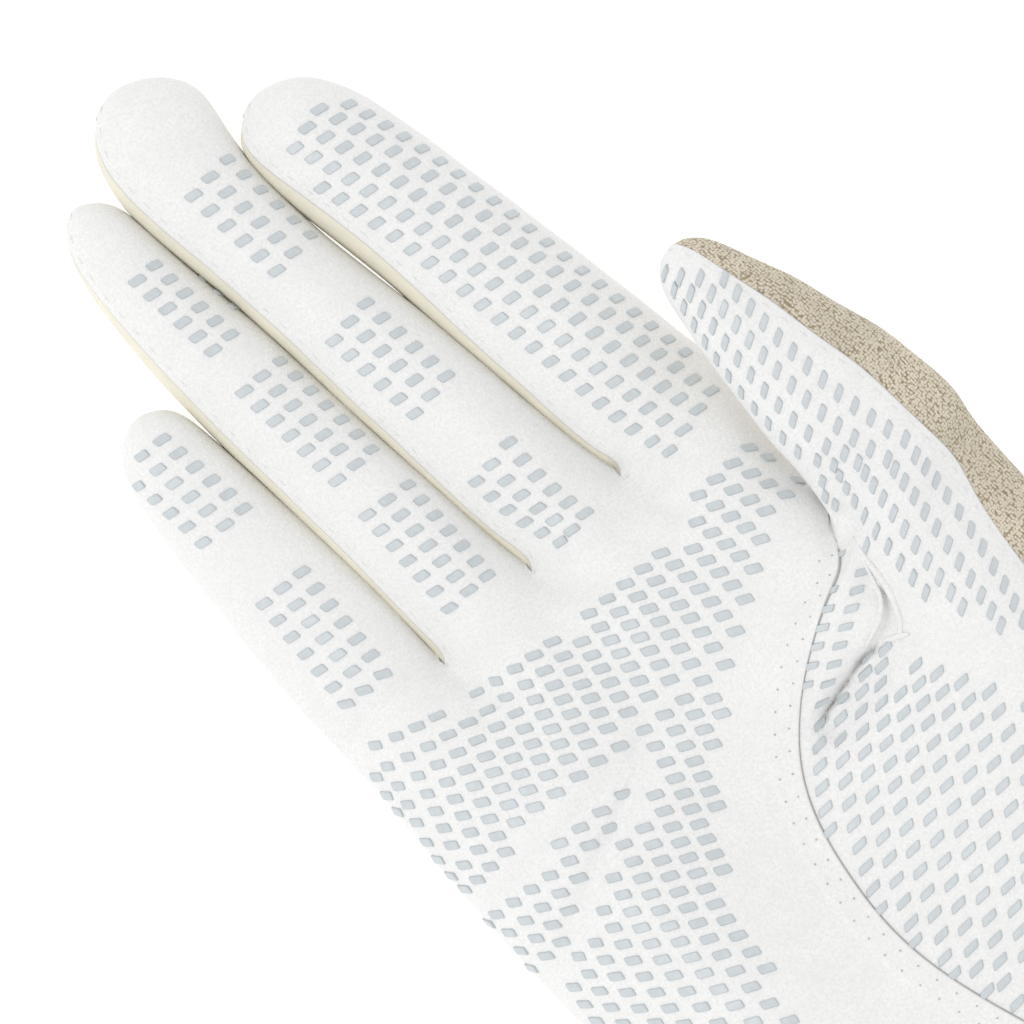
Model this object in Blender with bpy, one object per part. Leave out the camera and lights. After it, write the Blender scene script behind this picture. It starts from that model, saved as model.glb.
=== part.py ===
"""A right-hand golf glove, filled as if worn, lying on its back with the palm up.

+Y runs along the fingers, +X points to the thumb side and +Z out of the palm.
The origin lies on the flat patch of the hand's back that meets the surface.
The whole outer skin is one cage of four-sided faces, smoothed once. Its faces are
then shared out among the cut pieces of cloth and leather, and each piece gets its wall.
"""

import math
from collections import namedtuple

import bpy
from mathutils import Vector

# Driving sizes, in metres
INDEX_WIDTH = 0.0216
MIDDLE_WIDTH = 0.0186
RING_WIDTH = 0.0183
LITTLE_WIDTH = 0.0190
INDEX_LENGTH = 0.0754
MIDDLE_LENGTH = 0.0906
RING_LENGTH = 0.0833
LITTLE_LENGTH = 0.0562
INDEX_DEPTH = 0.0175
MIDDLE_DEPTH = 0.0178
RING_DEPTH = 0.0168
LITTLE_DEPTH = 0.0155
FINGER_CURL = 0.0035
THUMB_LENGTH = 0.0440
THUMB_WIDTH = 0.0228
THUMB_DEPTH = 0.0210
THUMB_HEIGHT = 0.0250
PALM_LENGTH = 0.1100
PALM_DEPTH = 0.0340
CROTCH_REACH = 0.0420
WALL = 0.0011
SEAM_GAP = 0.0003
SKIVE = 0.00035
NARROW_SHARE = 0.14
FINGER_GAP = 0.0005
CROTCH_OPENING = 0.0016
BINDING_HEIGHT = 0.0050
BINDING_LIP = 0.0006
TAB_LENGTH = 0.0420
TAB_WIDTH = 0.0250
TAB_CORNER = 0.0060
TAB_WALL = 0.0019
TAB_GAP = 0.0005
SKIN_LEVEL = 1
FIT_ROUNDS = 4

KNUCKLE_WIDTH = INDEX_WIDTH + MIDDLE_WIDTH + RING_WIDTH + LITTLE_WIDTH
RADIAL_EDGE = 0.463 * KNUCKLE_WIDTH
CROTCH_Y = CROTCH_REACH
WRIST_LIFT = TAB_WALL + TAB_GAP

# How far each side line of a finger has drifted from its place at the crotch line
SideRow = namedtuple("SideRow", "along index_side index_middle middle_ring ring_little little_side")
SIDE_LINES = (
    SideRow(0.000, 0.000, 0.000, 0.000, 0.000, 0.000),
    SideRow(0.143, -0.013, -0.012, -0.004, 0.014, 0.009),
    SideRow(0.309, -0.031, -0.023, -0.010, 0.017, 0.032),
    SideRow(0.475, -0.050, -0.034, -0.013, 0.010, 0.059),
    SideRow(0.640, -0.074, -0.049, -0.015, 0.021, 0.088),
    SideRow(0.773, -0.094, -0.052, -0.026, 0.041, 0.110),
    SideRow(0.905, -0.115, -0.052, -0.026, 0.058, 0.130),
)

# How far the two sides of a finger draw in towards its tip, as shares of its width
TipRow = namedtuple("TipRow", "along radial ulnar")
INDEX_TIP = (
    TipRow(0.62, 0.00, 0.02),
    TipRow(0.80, 0.00, 0.01),
    TipRow(0.90, 0.05, 0.03),
    TipRow(0.96, 0.15, 0.09),
    TipRow(0.99, 0.30, 0.23),
)
MIDDLE_TIP = (
    TipRow(0.62, 0.01, 0.00),
    TipRow(0.80, -0.06, 0.00),
    TipRow(0.90, -0.17, 0.05),
    TipRow(0.96, -0.06, 0.19),
    TipRow(0.99, 0.14, 0.37),
)
RING_TIP = (
    TipRow(0.62, 0.00, 0.00),
    TipRow(0.80, 0.01, 0.00),
    TipRow(0.90, 0.01, 0.05),
    TipRow(0.96, 0.05, 0.13),
    TipRow(0.99, 0.16, 0.26),
)
LITTLE_TIP = (
    TipRow(0.62, 0.00, 0.00),
    TipRow(0.80, 0.01, 0.03),
    TipRow(0.90, 0.04, 0.08),
    TipRow(0.96, 0.11, 0.16),
    TipRow(0.99, 0.23, 0.28),
)

# Height of a finger's front and back as shares of its depth, and its curl off the floor
HeightRow = namedtuple("HeightRow", "along front back curl")
FINGER_HEIGHTS = (
    HeightRow(0.00, 1.00, -0.02, 0.00),
    HeightRow(0.08, 1.00, -0.02, 0.00),
    HeightRow(0.24, 1.03, -0.02, 0.00),
    HeightRow(0.43, 0.97, -0.02, 0.00),
    HeightRow(0.62, 0.96, -0.02, 0.06),
    HeightRow(0.80, 0.94, -0.02, 0.35),
    HeightRow(0.90, 0.87, 0.05, 0.65),
    HeightRow(0.96, 0.76, 0.16, 0.85),
    HeightRow(0.99, 0.64, 0.30, 0.95),
    HeightRow(1.00, 0.49, 0.49, 1.00),
)

# Angles round a finger of its eight columns, along its length and at its tip
FINGER_ANGLES = (0, 40, 90, 140, 180, 220, 270, 320)
TIP_ANGLES = (0, 40, 90, 158, 180, 206, 270, 336)
TIP_START = 0.80
TIP_END = 0.99
# Near the webs the palm panel rolls further round the little-finger side of each finger
ROLL_COLUMN = 3
ROLL_ANGLE = 22
ROLL_END = 0.55

Finger = namedtuple("Finger", "length width depth radial_line ulnar_line tip")
FINGERS = (
    Finger(INDEX_LENGTH, INDEX_WIDTH, INDEX_DEPTH, "index_side", "index_middle", INDEX_TIP),
    Finger(MIDDLE_LENGTH, MIDDLE_WIDTH, MIDDLE_DEPTH, "index_middle", "middle_ring", MIDDLE_TIP),
    Finger(RING_LENGTH, RING_WIDTH, RING_DEPTH, "middle_ring", "ring_little", RING_TIP),
    Finger(LITTLE_LENGTH, LITTLE_WIDTH, LITTLE_DEPTH, "ring_little", "little_side", LITTLE_TIP),
)
LINE_START = {
    "index_side": RADIAL_EDGE,
    "index_middle": RADIAL_EDGE - INDEX_WIDTH,
    "middle_ring": RADIAL_EDGE - INDEX_WIDTH - MIDDLE_WIDTH,
    "ring_little": RADIAL_EDGE - INDEX_WIDTH - MIDDLE_WIDTH - RING_WIDTH,
    "little_side": RADIAL_EDGE - KNUCKLE_WIDTH,
}

# The thumb's two sides as shares of half its width, and its height and depth
ThumbRow = namedtuple("ThumbRow", "along ulnar radial depth lift")
THUMB_ROWS = (
    ThumbRow(0.00, -1.00, 1.00, 1.00, 0.00),
    ThumbRow(0.19, -0.95, 1.02, 0.94, 0.05),
    ThumbRow(0.34, -0.91, 0.97, 0.89, 0.09),
    ThumbRow(0.49, -0.85, 0.84, 0.83, 0.12),
    ThumbRow(0.64, -0.74, 0.73, 0.76, 0.15),
    ThumbRow(0.80, -0.60, 0.54, 0.64, 0.17),
    ThumbRow(0.92, -0.45, 0.39, 0.48, 0.18),
    ThumbRow(0.98, -0.25, 0.21, 0.28, 0.18),
    ThumbRow(1.00, 0.00, 0.00, 0.00, 0.18),
)
THUMB_MIDDLE = 0.556
THUMB_LEAN = -0.02
THUMB_ANGLES = {
    "T0": 18,
    "T1": 67,
    "T2": 88,
    "T3": 108,
    "T4": 128,
    "T5": 148,
    "F1": 168,
    "F0": 195,
    "B1": 222,
    "K3": 250,
    "K2": 285,
    "K1": 335,
}

# The web between palm and thumb: front end of the seam, deepest point and back
WebPoint = namedtuple("WebPoint", "x along height")
THUMB_WEB = {
    "F1": WebPoint(0.359, 0.262, 0.79),
    "F0": WebPoint(0.402, 0.222, 0.57),
    "B1": WebPoint(0.390, 0.252, 0.27),
}

# Palm rows: places as shares of the palm's length, the knuckle width and the palm's depth
PalmRow = namedtuple("PalmRow", "along ulnar radial depth seam border side under back")
UPPER_ROWS = (
    PalmRow(0.115, -0.556, 0.428, 0.66, 0.365, 0.000, 0.38, 0.00, -0.01),
    PalmRow(0.245, -0.577, 0.404, 0.76, 0.355, 0.000, 0.41, 0.00, -0.01),
)
LOWER_ROWS = (
    PalmRow(0.298, -0.584, 0.697, 0.80, 0.268, 0.612, 0.72, 0.32, -0.01),
    PalmRow(0.355, -0.590, 0.688, 0.83, 0.120, 0.585, 0.70, 0.24, -0.01),
    PalmRow(0.445, -0.596, 0.677, 0.86, -0.004, 0.556, 0.65, 0.12, -0.01),
    PalmRow(0.564, -0.591, 0.640, 0.90, -0.066, 0.525, 0.58, 0.04, -0.01),
    PalmRow(0.691, -0.570, 0.572, 0.95, -0.083, 0.470, 0.51, 0.00, 0.85),
    PalmRow(0.845, -0.530, 0.470, 0.99, -0.040, 0.390, 0.48, 0.00, 1.00),
    PalmRow(1.000, -0.484, 0.394, 1.00, 0.026, 0.310, 0.47, 0.00, 1.00),
)
UPPER_FRONT = (0.120, 0.245, 0.370, 0.485, 0.600, 0.715, 0.840, 0.955)
UPPER_BACK = (0.950, 0.760, 0.560, 0.340, 0.120, -0.120, -0.340, -0.600, -0.880)
LOWER_BACK = (0.320, 0.160, 0.000, -0.160, -0.320, -0.480, -0.630, -0.780, -0.920)
THUMB_BACK = (0.860, 0.680, 0.500)

# Soft bumps and hollows of the palm: centre, reach and height
Bump = namedtuple("Bump", "x y reach_x reach_y height")
PALM_BUMPS = (
    Bump(0.520, 0.400, 0.24, 0.36, 0.32),
    Bump(-0.400, 0.620, 0.17, 0.30, 0.12),
    Bump(-0.050, 0.480, 0.20, 0.22, -0.14),
    Bump(0.320, 0.090, 0.10, 0.08, 0.07),
    Bump(0.060, 0.080, 0.09, 0.08, 0.07),
    Bump(-0.175, 0.080, 0.09, 0.08, 0.06),
    Bump(-0.410, 0.090, 0.10, 0.08, 0.06),
)

# Folds pressed into the palm side: a run of points, its reach across and its depth
Fold = namedtuple("Fold", "points reach depth")
FOLDS = (
    Fold(((0.385, 0.250), (0.355, 0.340), (0.335, 0.395), (0.240, 0.408), (0.120, 0.415)), 0.038, 0.09),
    Fold(((-0.160, 0.255), (-0.350, 0.262), (-0.550, 0.265)), 0.030, 0.030),
    Fold(((-0.150, 0.270), (-0.330, 0.320), (-0.530, 0.375)), 0.035, 0.040),
    Fold(((-0.052, 0.000), (-0.030, 0.035), (0.010, 0.070)), 0.030, 0.050),
    Fold(((0.190, 0.000), (0.205, 0.040), (0.215, 0.080)), 0.030, 0.045),
    Fold(((-0.293, 0.000), (-0.275, 0.040), (-0.250, 0.090)), 0.030, 0.050),
)


def between(rows, along, column):
    """Value of one column of a table at a place along it, read on a straight line."""
    if along <= rows[0].along:
        return getattr(rows[0], column)
    for low, high in zip(rows, rows[1:]):
        if along <= high.along:
            part = (along - low.along) / (high.along - low.along)
            return getattr(low, column) + part * (getattr(high, column) - getattr(low, column))
    return getattr(rows[-1], column)


def line_x(line, y):
    """X of a side line of a finger at a height above the crotch line."""
    drift = between(SIDE_LINES, (y - CROTCH_Y) / MIDDLE_LENGTH, line)
    return LINE_START[line] + drift * KNUCKLE_WIDTH


def power(value, exponent):
    return math.copysign(abs(value) ** exponent, value)


def oval(middle, half, angle, fullness):
    """A point of a rounded oval at an angle in degrees, from +X over +Z."""
    turn = math.radians(angle)
    x = middle[0] + half[0] * power(math.cos(turn), fullness)
    z = middle[1] + half[1] * power(math.sin(turn), fullness)
    return x, z


def finger_ring(finger, along):
    """Eight points round a finger at a share of its length."""
    y = CROTCH_Y + along * finger.length
    draw_in = finger.width * between(finger.tip, along, "radial") if along > 0.43 else 0.0
    draw_out = finger.width * between(finger.tip, along, "ulnar") if along > 0.43 else 0.0
    gap = FINGER_GAP + CROTCH_OPENING * max(0.0, 1 - along / 0.24)
    radial = line_x(finger.radial_line, y) - gap / 2 - draw_in
    ulnar = line_x(finger.ulnar_line, y) + gap / 2 + draw_out
    lift = FINGER_CURL * between(FINGER_HEIGHTS, along, "curl")
    front = finger.depth * between(FINGER_HEIGHTS, along, "front") + lift
    back = finger.depth * between(FINGER_HEIGHTS, along, "back") + lift
    middle = ((radial + ulnar) / 2, (front + back) / 2)
    half = ((radial - ulnar) / 2, (front - back) / 2)
    toward_tip = min(1.0, max(0.0, (along - TIP_START) / (TIP_END - TIP_START)))
    points = []
    for column, (shaft_angle, tip_angle) in enumerate(zip(FINGER_ANGLES, TIP_ANGLES)):
        angle = shaft_angle + toward_tip * (tip_angle - shaft_angle)
        if column == ROLL_COLUMN:
            angle += ROLL_ANGLE * max(0.0, 1 - along / ROLL_END)
        x, z = oval(middle, half, angle, 0.92 if angle < 181 else 0.80)
        points.append(Vector((x, y, z)))
    return points


def thumb_ring(row):
    """Twelve points round the thumb, keyed by the column that each one starts."""
    half_width = THUMB_WIDTH / 2
    y = CROTCH_Y - UPPER_ROWS[-1].along * PALM_LENGTH + row.along * THUMB_LENGTH
    axis = THUMB_MIDDLE * KNUCKLE_WIDTH + THUMB_LEAN * row.along * THUMB_LENGTH
    radial = axis + row.radial * half_width
    ulnar = axis + row.ulnar * half_width
    height = THUMB_HEIGHT + row.lift * PALM_DEPTH
    middle = ((radial + ulnar) / 2, height)
    half = ((radial - ulnar) / 2, row.depth * THUMB_DEPTH / 2)
    points = {}
    for name, angle in THUMB_ANGLES.items():
        x, z = oval(middle, half, angle, 0.95)
        points[name] = Vector((x, y, z))
    return points


def web_points():
    points = {}
    for name, place in THUMB_WEB.items():
        y = CROTCH_Y - place.along * PALM_LENGTH
        points[name] = Vector((place.x * KNUCKLE_WIDTH, y, place.height * PALM_DEPTH))
    return points


def palm_front(row, x):
    """Height of the palm side at X on one row of the palm."""
    ulnar = row.ulnar * KNUCKLE_WIDTH
    radial = row.radial * KNUCKLE_WIDTH
    across = (2 * x - ulnar - radial) / (radial - ulnar)
    side = palm_side(row, across)
    rise = (1 - min(1.0, abs(across)) ** (3.2 if across > 0 else 2.6)) ** 0.5
    bumps = 0.0
    for bump in PALM_BUMPS:
        away_x = (x / KNUCKLE_WIDTH - bump.x) / bump.reach_x
        away_y = (row.along - bump.y) / bump.reach_y
        bumps += bump.height * math.exp(-away_x * away_x - away_y * away_y)
    return side + (row.depth * PALM_DEPTH - side + bumps * PALM_DEPTH) * rise


def palm_side(row, across):
    """Height of the hand's widest line, on the thumb side or on the little finger's."""
    return PALM_DEPTH * (row.side if across > 0 else 0.20 + 0.28 * row.depth)


def palm_back(row, across):
    """Height of the hand's back at a share of the way across a row."""
    under = row.under * PALM_DEPTH * max(0.0, across) ** 1.5
    floor = row.back * WRIST_LIFT + under
    return floor + (palm_side(row, across) - floor) * (1 - (1 - abs(across) ** 4) ** 0.5)


def palm_row_points(row, front_shares, back_shares, names_back):
    """Points of a palm row from the seam column round the ulnar side to the back."""
    ulnar = row.ulnar * KNUCKLE_WIDTH
    radial = row.radial * KNUCKLE_WIDTH
    seam = row.seam * KNUCKLE_WIDTH
    y = CROTCH_Y - row.along * PALM_LENGTH
    points = {"F1": Vector((seam, y, palm_front(row, seam)))}
    for number, share in enumerate(front_shares):
        x = seam + share * (ulnar - seam)
        points[f"F{number + 2}"] = Vector((x, y, palm_front(row, x)))
    points["F10"] = Vector((ulnar, y, palm_side(row, -1)))
    for name, share in zip(names_back, back_shares):
        x = (radial + ulnar) / 2 + share * (radial - ulnar) / 2
        points[name] = Vector((x, y, palm_back(row, share)))
    return points


class Cage:
    """Points and faces of the whole skin, each face marked with its piece."""

    def __init__(self):
        self.points = []
        self.faces = []
        self.pieces = []

    def add(self, point):
        self.points.append(Vector(point))
        return len(self.points) - 1

    def strip(self, upper, lower, pieces):
        """Faces between two rings of the same length, the upper one nearer the tips."""
        count = len(upper)
        for k in range(count):
            after = (k + 1) % count
            self.faces.append((upper[k], upper[after], lower[after], lower[k]))
            self.pieces.append(pieces[k])

    def close(self, ring, pole, pieces):
        count = len(ring)
        for k in range(count):
            self.faces.append((pole, ring[(k + 1) % count], ring[k]))
            self.pieces.append(pieces[k])


FRONT_NAMES = [f"F{k}" for k in range(11)]
BACK_NAMES = [f"B{k}" for k in range(1, 10)]
UPPER_ORDER = FRONT_NAMES + BACK_NAMES[::-1]
THUMB_ORDER = list(THUMB_ANGLES)
LOWER_ORDER = ["T0", "T1", "T2", "T3", "T4", "T5"] + FRONT_NAMES[1:] + BACK_NAMES[::-1] + ["K3", "K2", "K1"]


def column_piece(first, second):
    """The cut piece that lies between two neighbouring columns of the hand."""
    pair = {first, second}
    if pair & {"K1", "K2", "K3"} or pair == {"T0", "T1"}:
        return "thumb_back"
    if pair & {"T1", "T2", "T3", "T4", "T5"}:
        return "thumb_panel"
    if first.startswith("F") and second.startswith("F"):
        return "palm_panel"
    return "hand_back"


def pieces_round(order):
    return [column_piece(order[k], order[(k + 1) % len(order)]) for k in range(len(order))]


FINGER_PIECES = (
    ("hand_back", "fourchette_index_middle", "fourchette_index_middle"),
    ("fourchette_index_middle", "fourchette_middle_ring", "fourchette_middle_ring"),
    ("fourchette_middle_ring", "fourchette_ring_little", "fourchette_ring_little"),
    ("fourchette_ring_little", "palm_panel", "hand_back"),
)
FINGER_COLUMNS = (
    ("F0", "F1", "F2", "F3", None, "B3", "B2", "B1"),
    (None, "F3", "F4", "F5", None, "B5", "B4", "B3"),
    (None, "F5", "F6", "F7", None, "B7", "B6", "B5"),
    (None, "F7", "F8", "F9", "F10", "B9", "B8", "B7"),
)


def crotch_points():
    """Shared points between neighbouring fingers: front, deep in the web, and back."""
    points = {}
    for number in range(3):
        here, after = FINGERS[number], FINGERS[number + 1]
        x = LINE_START[here.ulnar_line]
        depth = (here.depth + after.depth) / 2
        reach = depth / 10
        front = f"F{2 * number + 3}"
        back = f"B{2 * number + 3}"
        points[front] = Vector((x, CROTCH_Y, 0.74 * depth))
        points[f"W{number}"] = Vector((x, CROTCH_Y + reach, 0.50 * depth))
        points[back] = Vector((x, CROTCH_Y, 0.17 * depth))
    return points


def build_cage():
    cage = Cage()
    knuckle = {name: cage.add(point) for name, point in crotch_points().items()}
    first_rings = []
    for number, (finger, names) in enumerate(zip(FINGERS, FINGER_COLUMNS)):
        ring = []
        for k, (name, point) in enumerate(zip(names, finger_ring(finger, 0.0))):
            if name is None:
                name = f"W{number - 1}" if k == 0 else f"W{number}"
            if name not in knuckle:
                knuckle[name] = cage.add(point)
            ring.append(knuckle[name])
        first_rings.append(ring)

    for finger, ring, (radial, ulnar_front, ulnar_back) in zip(FINGERS, first_rings, FINGER_PIECES):
        pieces = ["palm_panel"] * 3 + [ulnar_front, ulnar_back, "hand_back", "hand_back", radial]
        lower = ring
        for row in FINGER_HEIGHTS[1:-1]:
            upper = [cage.add(point) for point in finger_ring(finger, row.along)]
            cage.strip(upper, lower, pieces)
            lower = upper
        tip = [cage.points[index] for index in lower]
        middle = sum(tip, Vector()) / len(tip)
        end = FINGER_HEIGHTS[-1]
        height = end.front * finger.depth + end.curl * FINGER_CURL
        pole = cage.add((middle.x, CROTCH_Y + finger.length, height))
        cage.close(lower, pole, ["palm_panel"] * 4 + ["hand_back"] * 4)

    upper = [knuckle[name] for name in UPPER_ORDER]
    pieces = pieces_round(UPPER_ORDER)
    for row in UPPER_ROWS:
        places = palm_row_points(row, UPPER_FRONT, UPPER_BACK, BACK_NAMES)
        side = row.radial * KNUCKLE_WIDTH
        places["F0"] = Vector((side, CROTCH_Y - row.along * PALM_LENGTH, palm_side(row, 1)))
        if row is UPPER_ROWS[-1]:
            places.update(web_points())
        row_index = {name: cage.add(places[name]) for name in UPPER_ORDER}
        lower = [row_index[name] for name in UPPER_ORDER]
        cage.strip(upper, lower, pieces)
        upper = lower

    web = thumb_ring(THUMB_ROWS[0])
    for name in THUMB_ORDER:
        if name not in row_index:
            row_index[name] = cage.add(web[name])
    thumb_pieces = pieces_round(THUMB_ORDER)
    for number in (THUMB_ORDER.index("F1"), THUMB_ORDER.index("F0")):
        thumb_pieces[number] = "thumb_panel"
    lower = [row_index[name] for name in THUMB_ORDER]
    for row in THUMB_ROWS[1:-1]:
        places = thumb_ring(row)
        ring = [cage.add(places[name]) for name in THUMB_ORDER]
        cage.strip(ring, lower, thumb_pieces)
        lower = ring
    end = thumb_ring(THUMB_ROWS[-1])
    cage.close(lower, cage.add(end["T0"]), thumb_pieces)

    upper = [row_index[name] for name in LOWER_ORDER]
    pieces = pieces_round(LOWER_ORDER)
    for row in LOWER_ROWS:
        places = palm_row_points(row, UPPER_FRONT, LOWER_BACK, BACK_NAMES)
        y = CROTCH_Y - row.along * PALM_LENGTH
        radial = row.radial * KNUCKLE_WIDTH
        ulnar = row.ulnar * KNUCKLE_WIDTH
        border = row.border * KNUCKLE_WIDTH
        seam = row.seam * KNUCKLE_WIDTH
        places["T0"] = Vector((radial, y, palm_side(row, 1)))
        for number in range(5):
            x = border + number / 5 * (seam - border)
            places[f"T{number + 1}"] = Vector((x, y, palm_front(row, x)))
        for name, share in zip(("K1", "K2", "K3"), THUMB_BACK):
            x = (radial + ulnar) / 2 + share * (radial - ulnar) / 2
            places[name] = Vector((x, y, palm_back(row, share)))
        lower = [cage.add(places[name]) for name in LOWER_ORDER]
        cage.strip(upper, lower, pieces)
        upper = lower
    return cage


def fold_depth(x, y):
    """How far the folds press the palm side in at a point."""
    share_x = x / KNUCKLE_WIDTH
    share_y = (CROTCH_Y - y) / PALM_LENGTH
    here = Vector((share_x * KNUCKLE_WIDTH, share_y * PALM_LENGTH))
    deepest = 0.0
    for fold in FOLDS:
        run = [Vector((px * KNUCKLE_WIDTH, py * PALM_LENGTH)) for px, py in fold.points]
        nearest = min(distance_to(here, a, b) for a, b in zip(run, run[1:]))
        reach = fold.reach * KNUCKLE_WIDTH
        deepest = max(deepest, fold.depth * PALM_DEPTH * math.exp(-((nearest / reach) ** 2)))
    return deepest


def distance_to(point, start, end):
    along = (point - start).dot(end - start) / (end - start).length_squared
    return (point - start - (end - start) * min(1.0, max(0.0, along))).length


def smooth_skin(cage, level):
    """The cage smoothed so that the skin passes through the cage's own points."""
    mesh = bpy.data.meshes.new("skin_cage")
    mesh.from_pydata([tuple(point) for point in cage.points], [], cage.faces)
    names = sorted(set(cage.pieces))
    for face, piece in zip(mesh.polygons, cage.pieces):
        face.material_index = names.index(piece)
    for name in names:
        mesh.materials.append(bpy.data.materials.new(f"mark_{name}"))
    cage_object = bpy.data.objects.new("skin_cage", mesh)
    bpy.context.scene.collection.objects.link(cage_object)
    smooth = cage_object.modifiers.new("smooth", "SUBSURF")
    smooth.levels = smooth.render_levels = level
    for _ in range(FIT_ROUNDS):
        skin = evaluated_mesh(cage_object)
        for vertex, target, moved in zip(mesh.vertices, cage.points, skin.vertices):
            vertex.co += target - moved.co
        bpy.data.meshes.remove(skin)
        mesh.update()
    skin = evaluated_mesh(cage_object)
    bpy.data.objects.remove(cage_object)
    return skin, names


def evaluated_mesh(source):
    graph = bpy.context.evaluated_depsgraph_get()
    graph.update()
    return bpy.data.meshes.new_from_object(source.evaluated_get(graph))


def rest_and_fold(skin):
    """Flattens what lies on the surface and presses the folds in."""
    normals = [vertex.normal.copy() for vertex in skin.vertices]
    for vertex, normal in zip(skin.vertices, normals):
        if normal.z > 0:
            vertex.co.z -= normal.z * fold_depth(vertex.co.x, vertex.co.y)
        vertex.co.z = max(0.0, vertex.co.z)
    skin.update()


def piece_walls(name, skin, mark):
    """One closed wall from the faces of a piece, drawn in a little along its cut edges."""
    faces = [face for face in skin.polygons if face.material_index == mark]
    used = sorted({index for face in faces for index in face.vertices})
    place = {index: number for number, index in enumerate(used)}
    ahead = {}
    for face in faces:
        loop = list(face.vertices)
        for a, b in zip(loop, loop[1:] + loop[:1]):
            ahead[(a, b)] = face
    rim = [edge for edge in ahead if (edge[1], edge[0]) not in ahead]
    room = {}
    for a, b in ahead:
        if (b, a) in ahead:
            length = (skin.vertices[a].co - skin.vertices[b].co).length
            room[a] = min(room.get(a, length), length)
    inward = {}
    for a, b in rim:
        tangent = (skin.vertices[b].co - skin.vertices[a].co).normalized()
        step = ahead[(a, b)].normal.cross(tangent).normalized()
        for index in (a, b):
            inward.setdefault(index, Vector())
            inward[index] += step
    points = []
    under = []
    for index in used:
        vertex = skin.vertices[index]
        draw = inward[index].normalized() if index in inward else Vector()
        most = NARROW_SHARE * room.get(index, WALL)
        cut = min(SEAM_GAP / 2, most)
        points.append(vertex.co + draw * cut)
        under.append(vertex.co + draw * min(SEAM_GAP / 2 + SKIVE, 2 * most) - vertex.normal * WALL)
    count = len(points)
    outer = [tuple(place[index] for index in face.vertices) for face in faces]
    inner = [tuple(place[index] + count for index in reversed(face.vertices)) for face in faces]
    walls = [(place[b], place[a], place[a] + count, place[b] + count) for a, b in rim]
    return make_object(name, points + under, outer + inner + walls)


def make_object(name, points, faces):
    mesh = bpy.data.meshes.new(name)
    mesh.from_pydata([tuple(point) for point in points], [], faces)
    mesh.update()
    mesh.shade_smooth()
    mesh.set_sharp_from_angle(angle=math.radians(40))
    built = bpy.data.objects.new(name, mesh)
    bpy.context.scene.collection.objects.link(built)
    return built


def ring_band(name, outline, inward, start, end, lip):
    """A closed band round an outline, between two places along Y."""
    count = len(outline)
    points = []
    for y in (start, end):
        for offset in (lip, -WALL - lip):
            points += [Vector((p.x, y, p.z)) - n * offset for p, n in zip(outline, inward)]
    faces = []
    rings = (0, 1, 3, 2)
    for here, after in zip(rings, rings[1:] + rings[:1]):
        for k in range(count):
            step = (k + 1) % count
            faces.append((here * count + k, here * count + step, after * count + step, after * count + k))
    return make_object(name, points, faces)


def wrist_binding(skin):
    """The bound hem below the wrist edge, a plain band that follows its outline."""
    hem = CROTCH_Y - PALM_LENGTH
    uses = {}
    for face in skin.polygons:
        loop = list(face.vertices)
        for a, b in zip(loop, loop[1:] + loop[:1]):
            uses[(a, b)] = True
    following = {a: b for a, b in uses if (b, a) not in uses}
    start = next(iter(following))
    order = [start]
    while following[order[-1]] != start:
        order.append(following[order[-1]])
    outline = [skin.vertices[index].co.copy() for index in order]
    inward = []
    for k, point in enumerate(outline):
        along = outline[(k + 1) % len(outline)] - outline[k - 1]
        normal = Vector((along.z, 0.0, -along.x)).normalized()
        middle = sum(outline, Vector()) / len(outline)
        inward.append(normal if normal.dot(middle - point) > 0 else -normal)
    top = hem - SEAM_GAP
    return ring_band("wrist_binding", outline, inward, top, top - BINDING_HEIGHT, BINDING_LIP)


def closure_tab():
    """The wrist closure's tab, one plain rounded piece flat under the back of the wrist."""
    middle_x = -0.02 * KNUCKLE_WIDTH
    middle_y = CROTCH_Y - 0.84 * PALM_LENGTH
    half_x = TAB_LENGTH / 2 - TAB_CORNER
    half_y = TAB_WIDTH / 2 - TAB_CORNER
    outline = []
    for side_x, side_y, first in ((1, 1, 0), (-1, 1, 90), (-1, -1, 180), (1, -1, 270)):
        for step in range(5):
            turn = math.radians(first + step * 22.5)
            x = middle_x + side_x * half_x + TAB_CORNER * math.cos(turn)
            y = middle_y + side_y * half_y + TAB_CORNER * math.sin(turn)
            outline.append((x, y))
    count = len(outline)
    points = [(x, y, z) for z in (0.0, TAB_WALL) for x, y in outline]
    faces = [tuple(range(count))[::-1], tuple(range(count, 2 * count))]
    faces += [(k, (k + 1) % count, (k + 1) % count + count, k + count) for k in range(count)]
    return make_object("closure_tab", points, faces)


MaterialLook = namedtuple("MaterialLook", "colour roughness")
WHITE_SUEDE = MaterialLook((0.90, 0.90, 0.89), 0.85)
CREAM_LEATHER = MaterialLook((0.72, 0.62, 0.46), 0.55)
WHITE_RUBBER = MaterialLook((0.82, 0.83, 0.84), 0.50)
LOOKS = {
    "palm_panel": WHITE_SUEDE,
    "thumb_panel": WHITE_SUEDE,
    "hand_back": CREAM_LEATHER,
    "thumb_back": CREAM_LEATHER,
    "fourchette_index_middle": CREAM_LEATHER,
    "fourchette_middle_ring": CREAM_LEATHER,
    "fourchette_ring_little": CREAM_LEATHER,
    "wrist_binding": WHITE_SUEDE,
    "closure_tab": WHITE_RUBBER,
}


def give_material(built):
    look = LOOKS[built.name]
    material = bpy.data.materials.new(f"{built.name}_material")
    material.use_nodes = True
    shader = material.node_tree.nodes["Principled BSDF"]
    shader.inputs["Base Color"].default_value = (*look.colour, 1.0)
    shader.inputs["Roughness"].default_value = look.roughness
    shader.inputs["Metallic"].default_value = 0.0
    built.data.materials.clear()
    built.data.materials.append(material)


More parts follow.
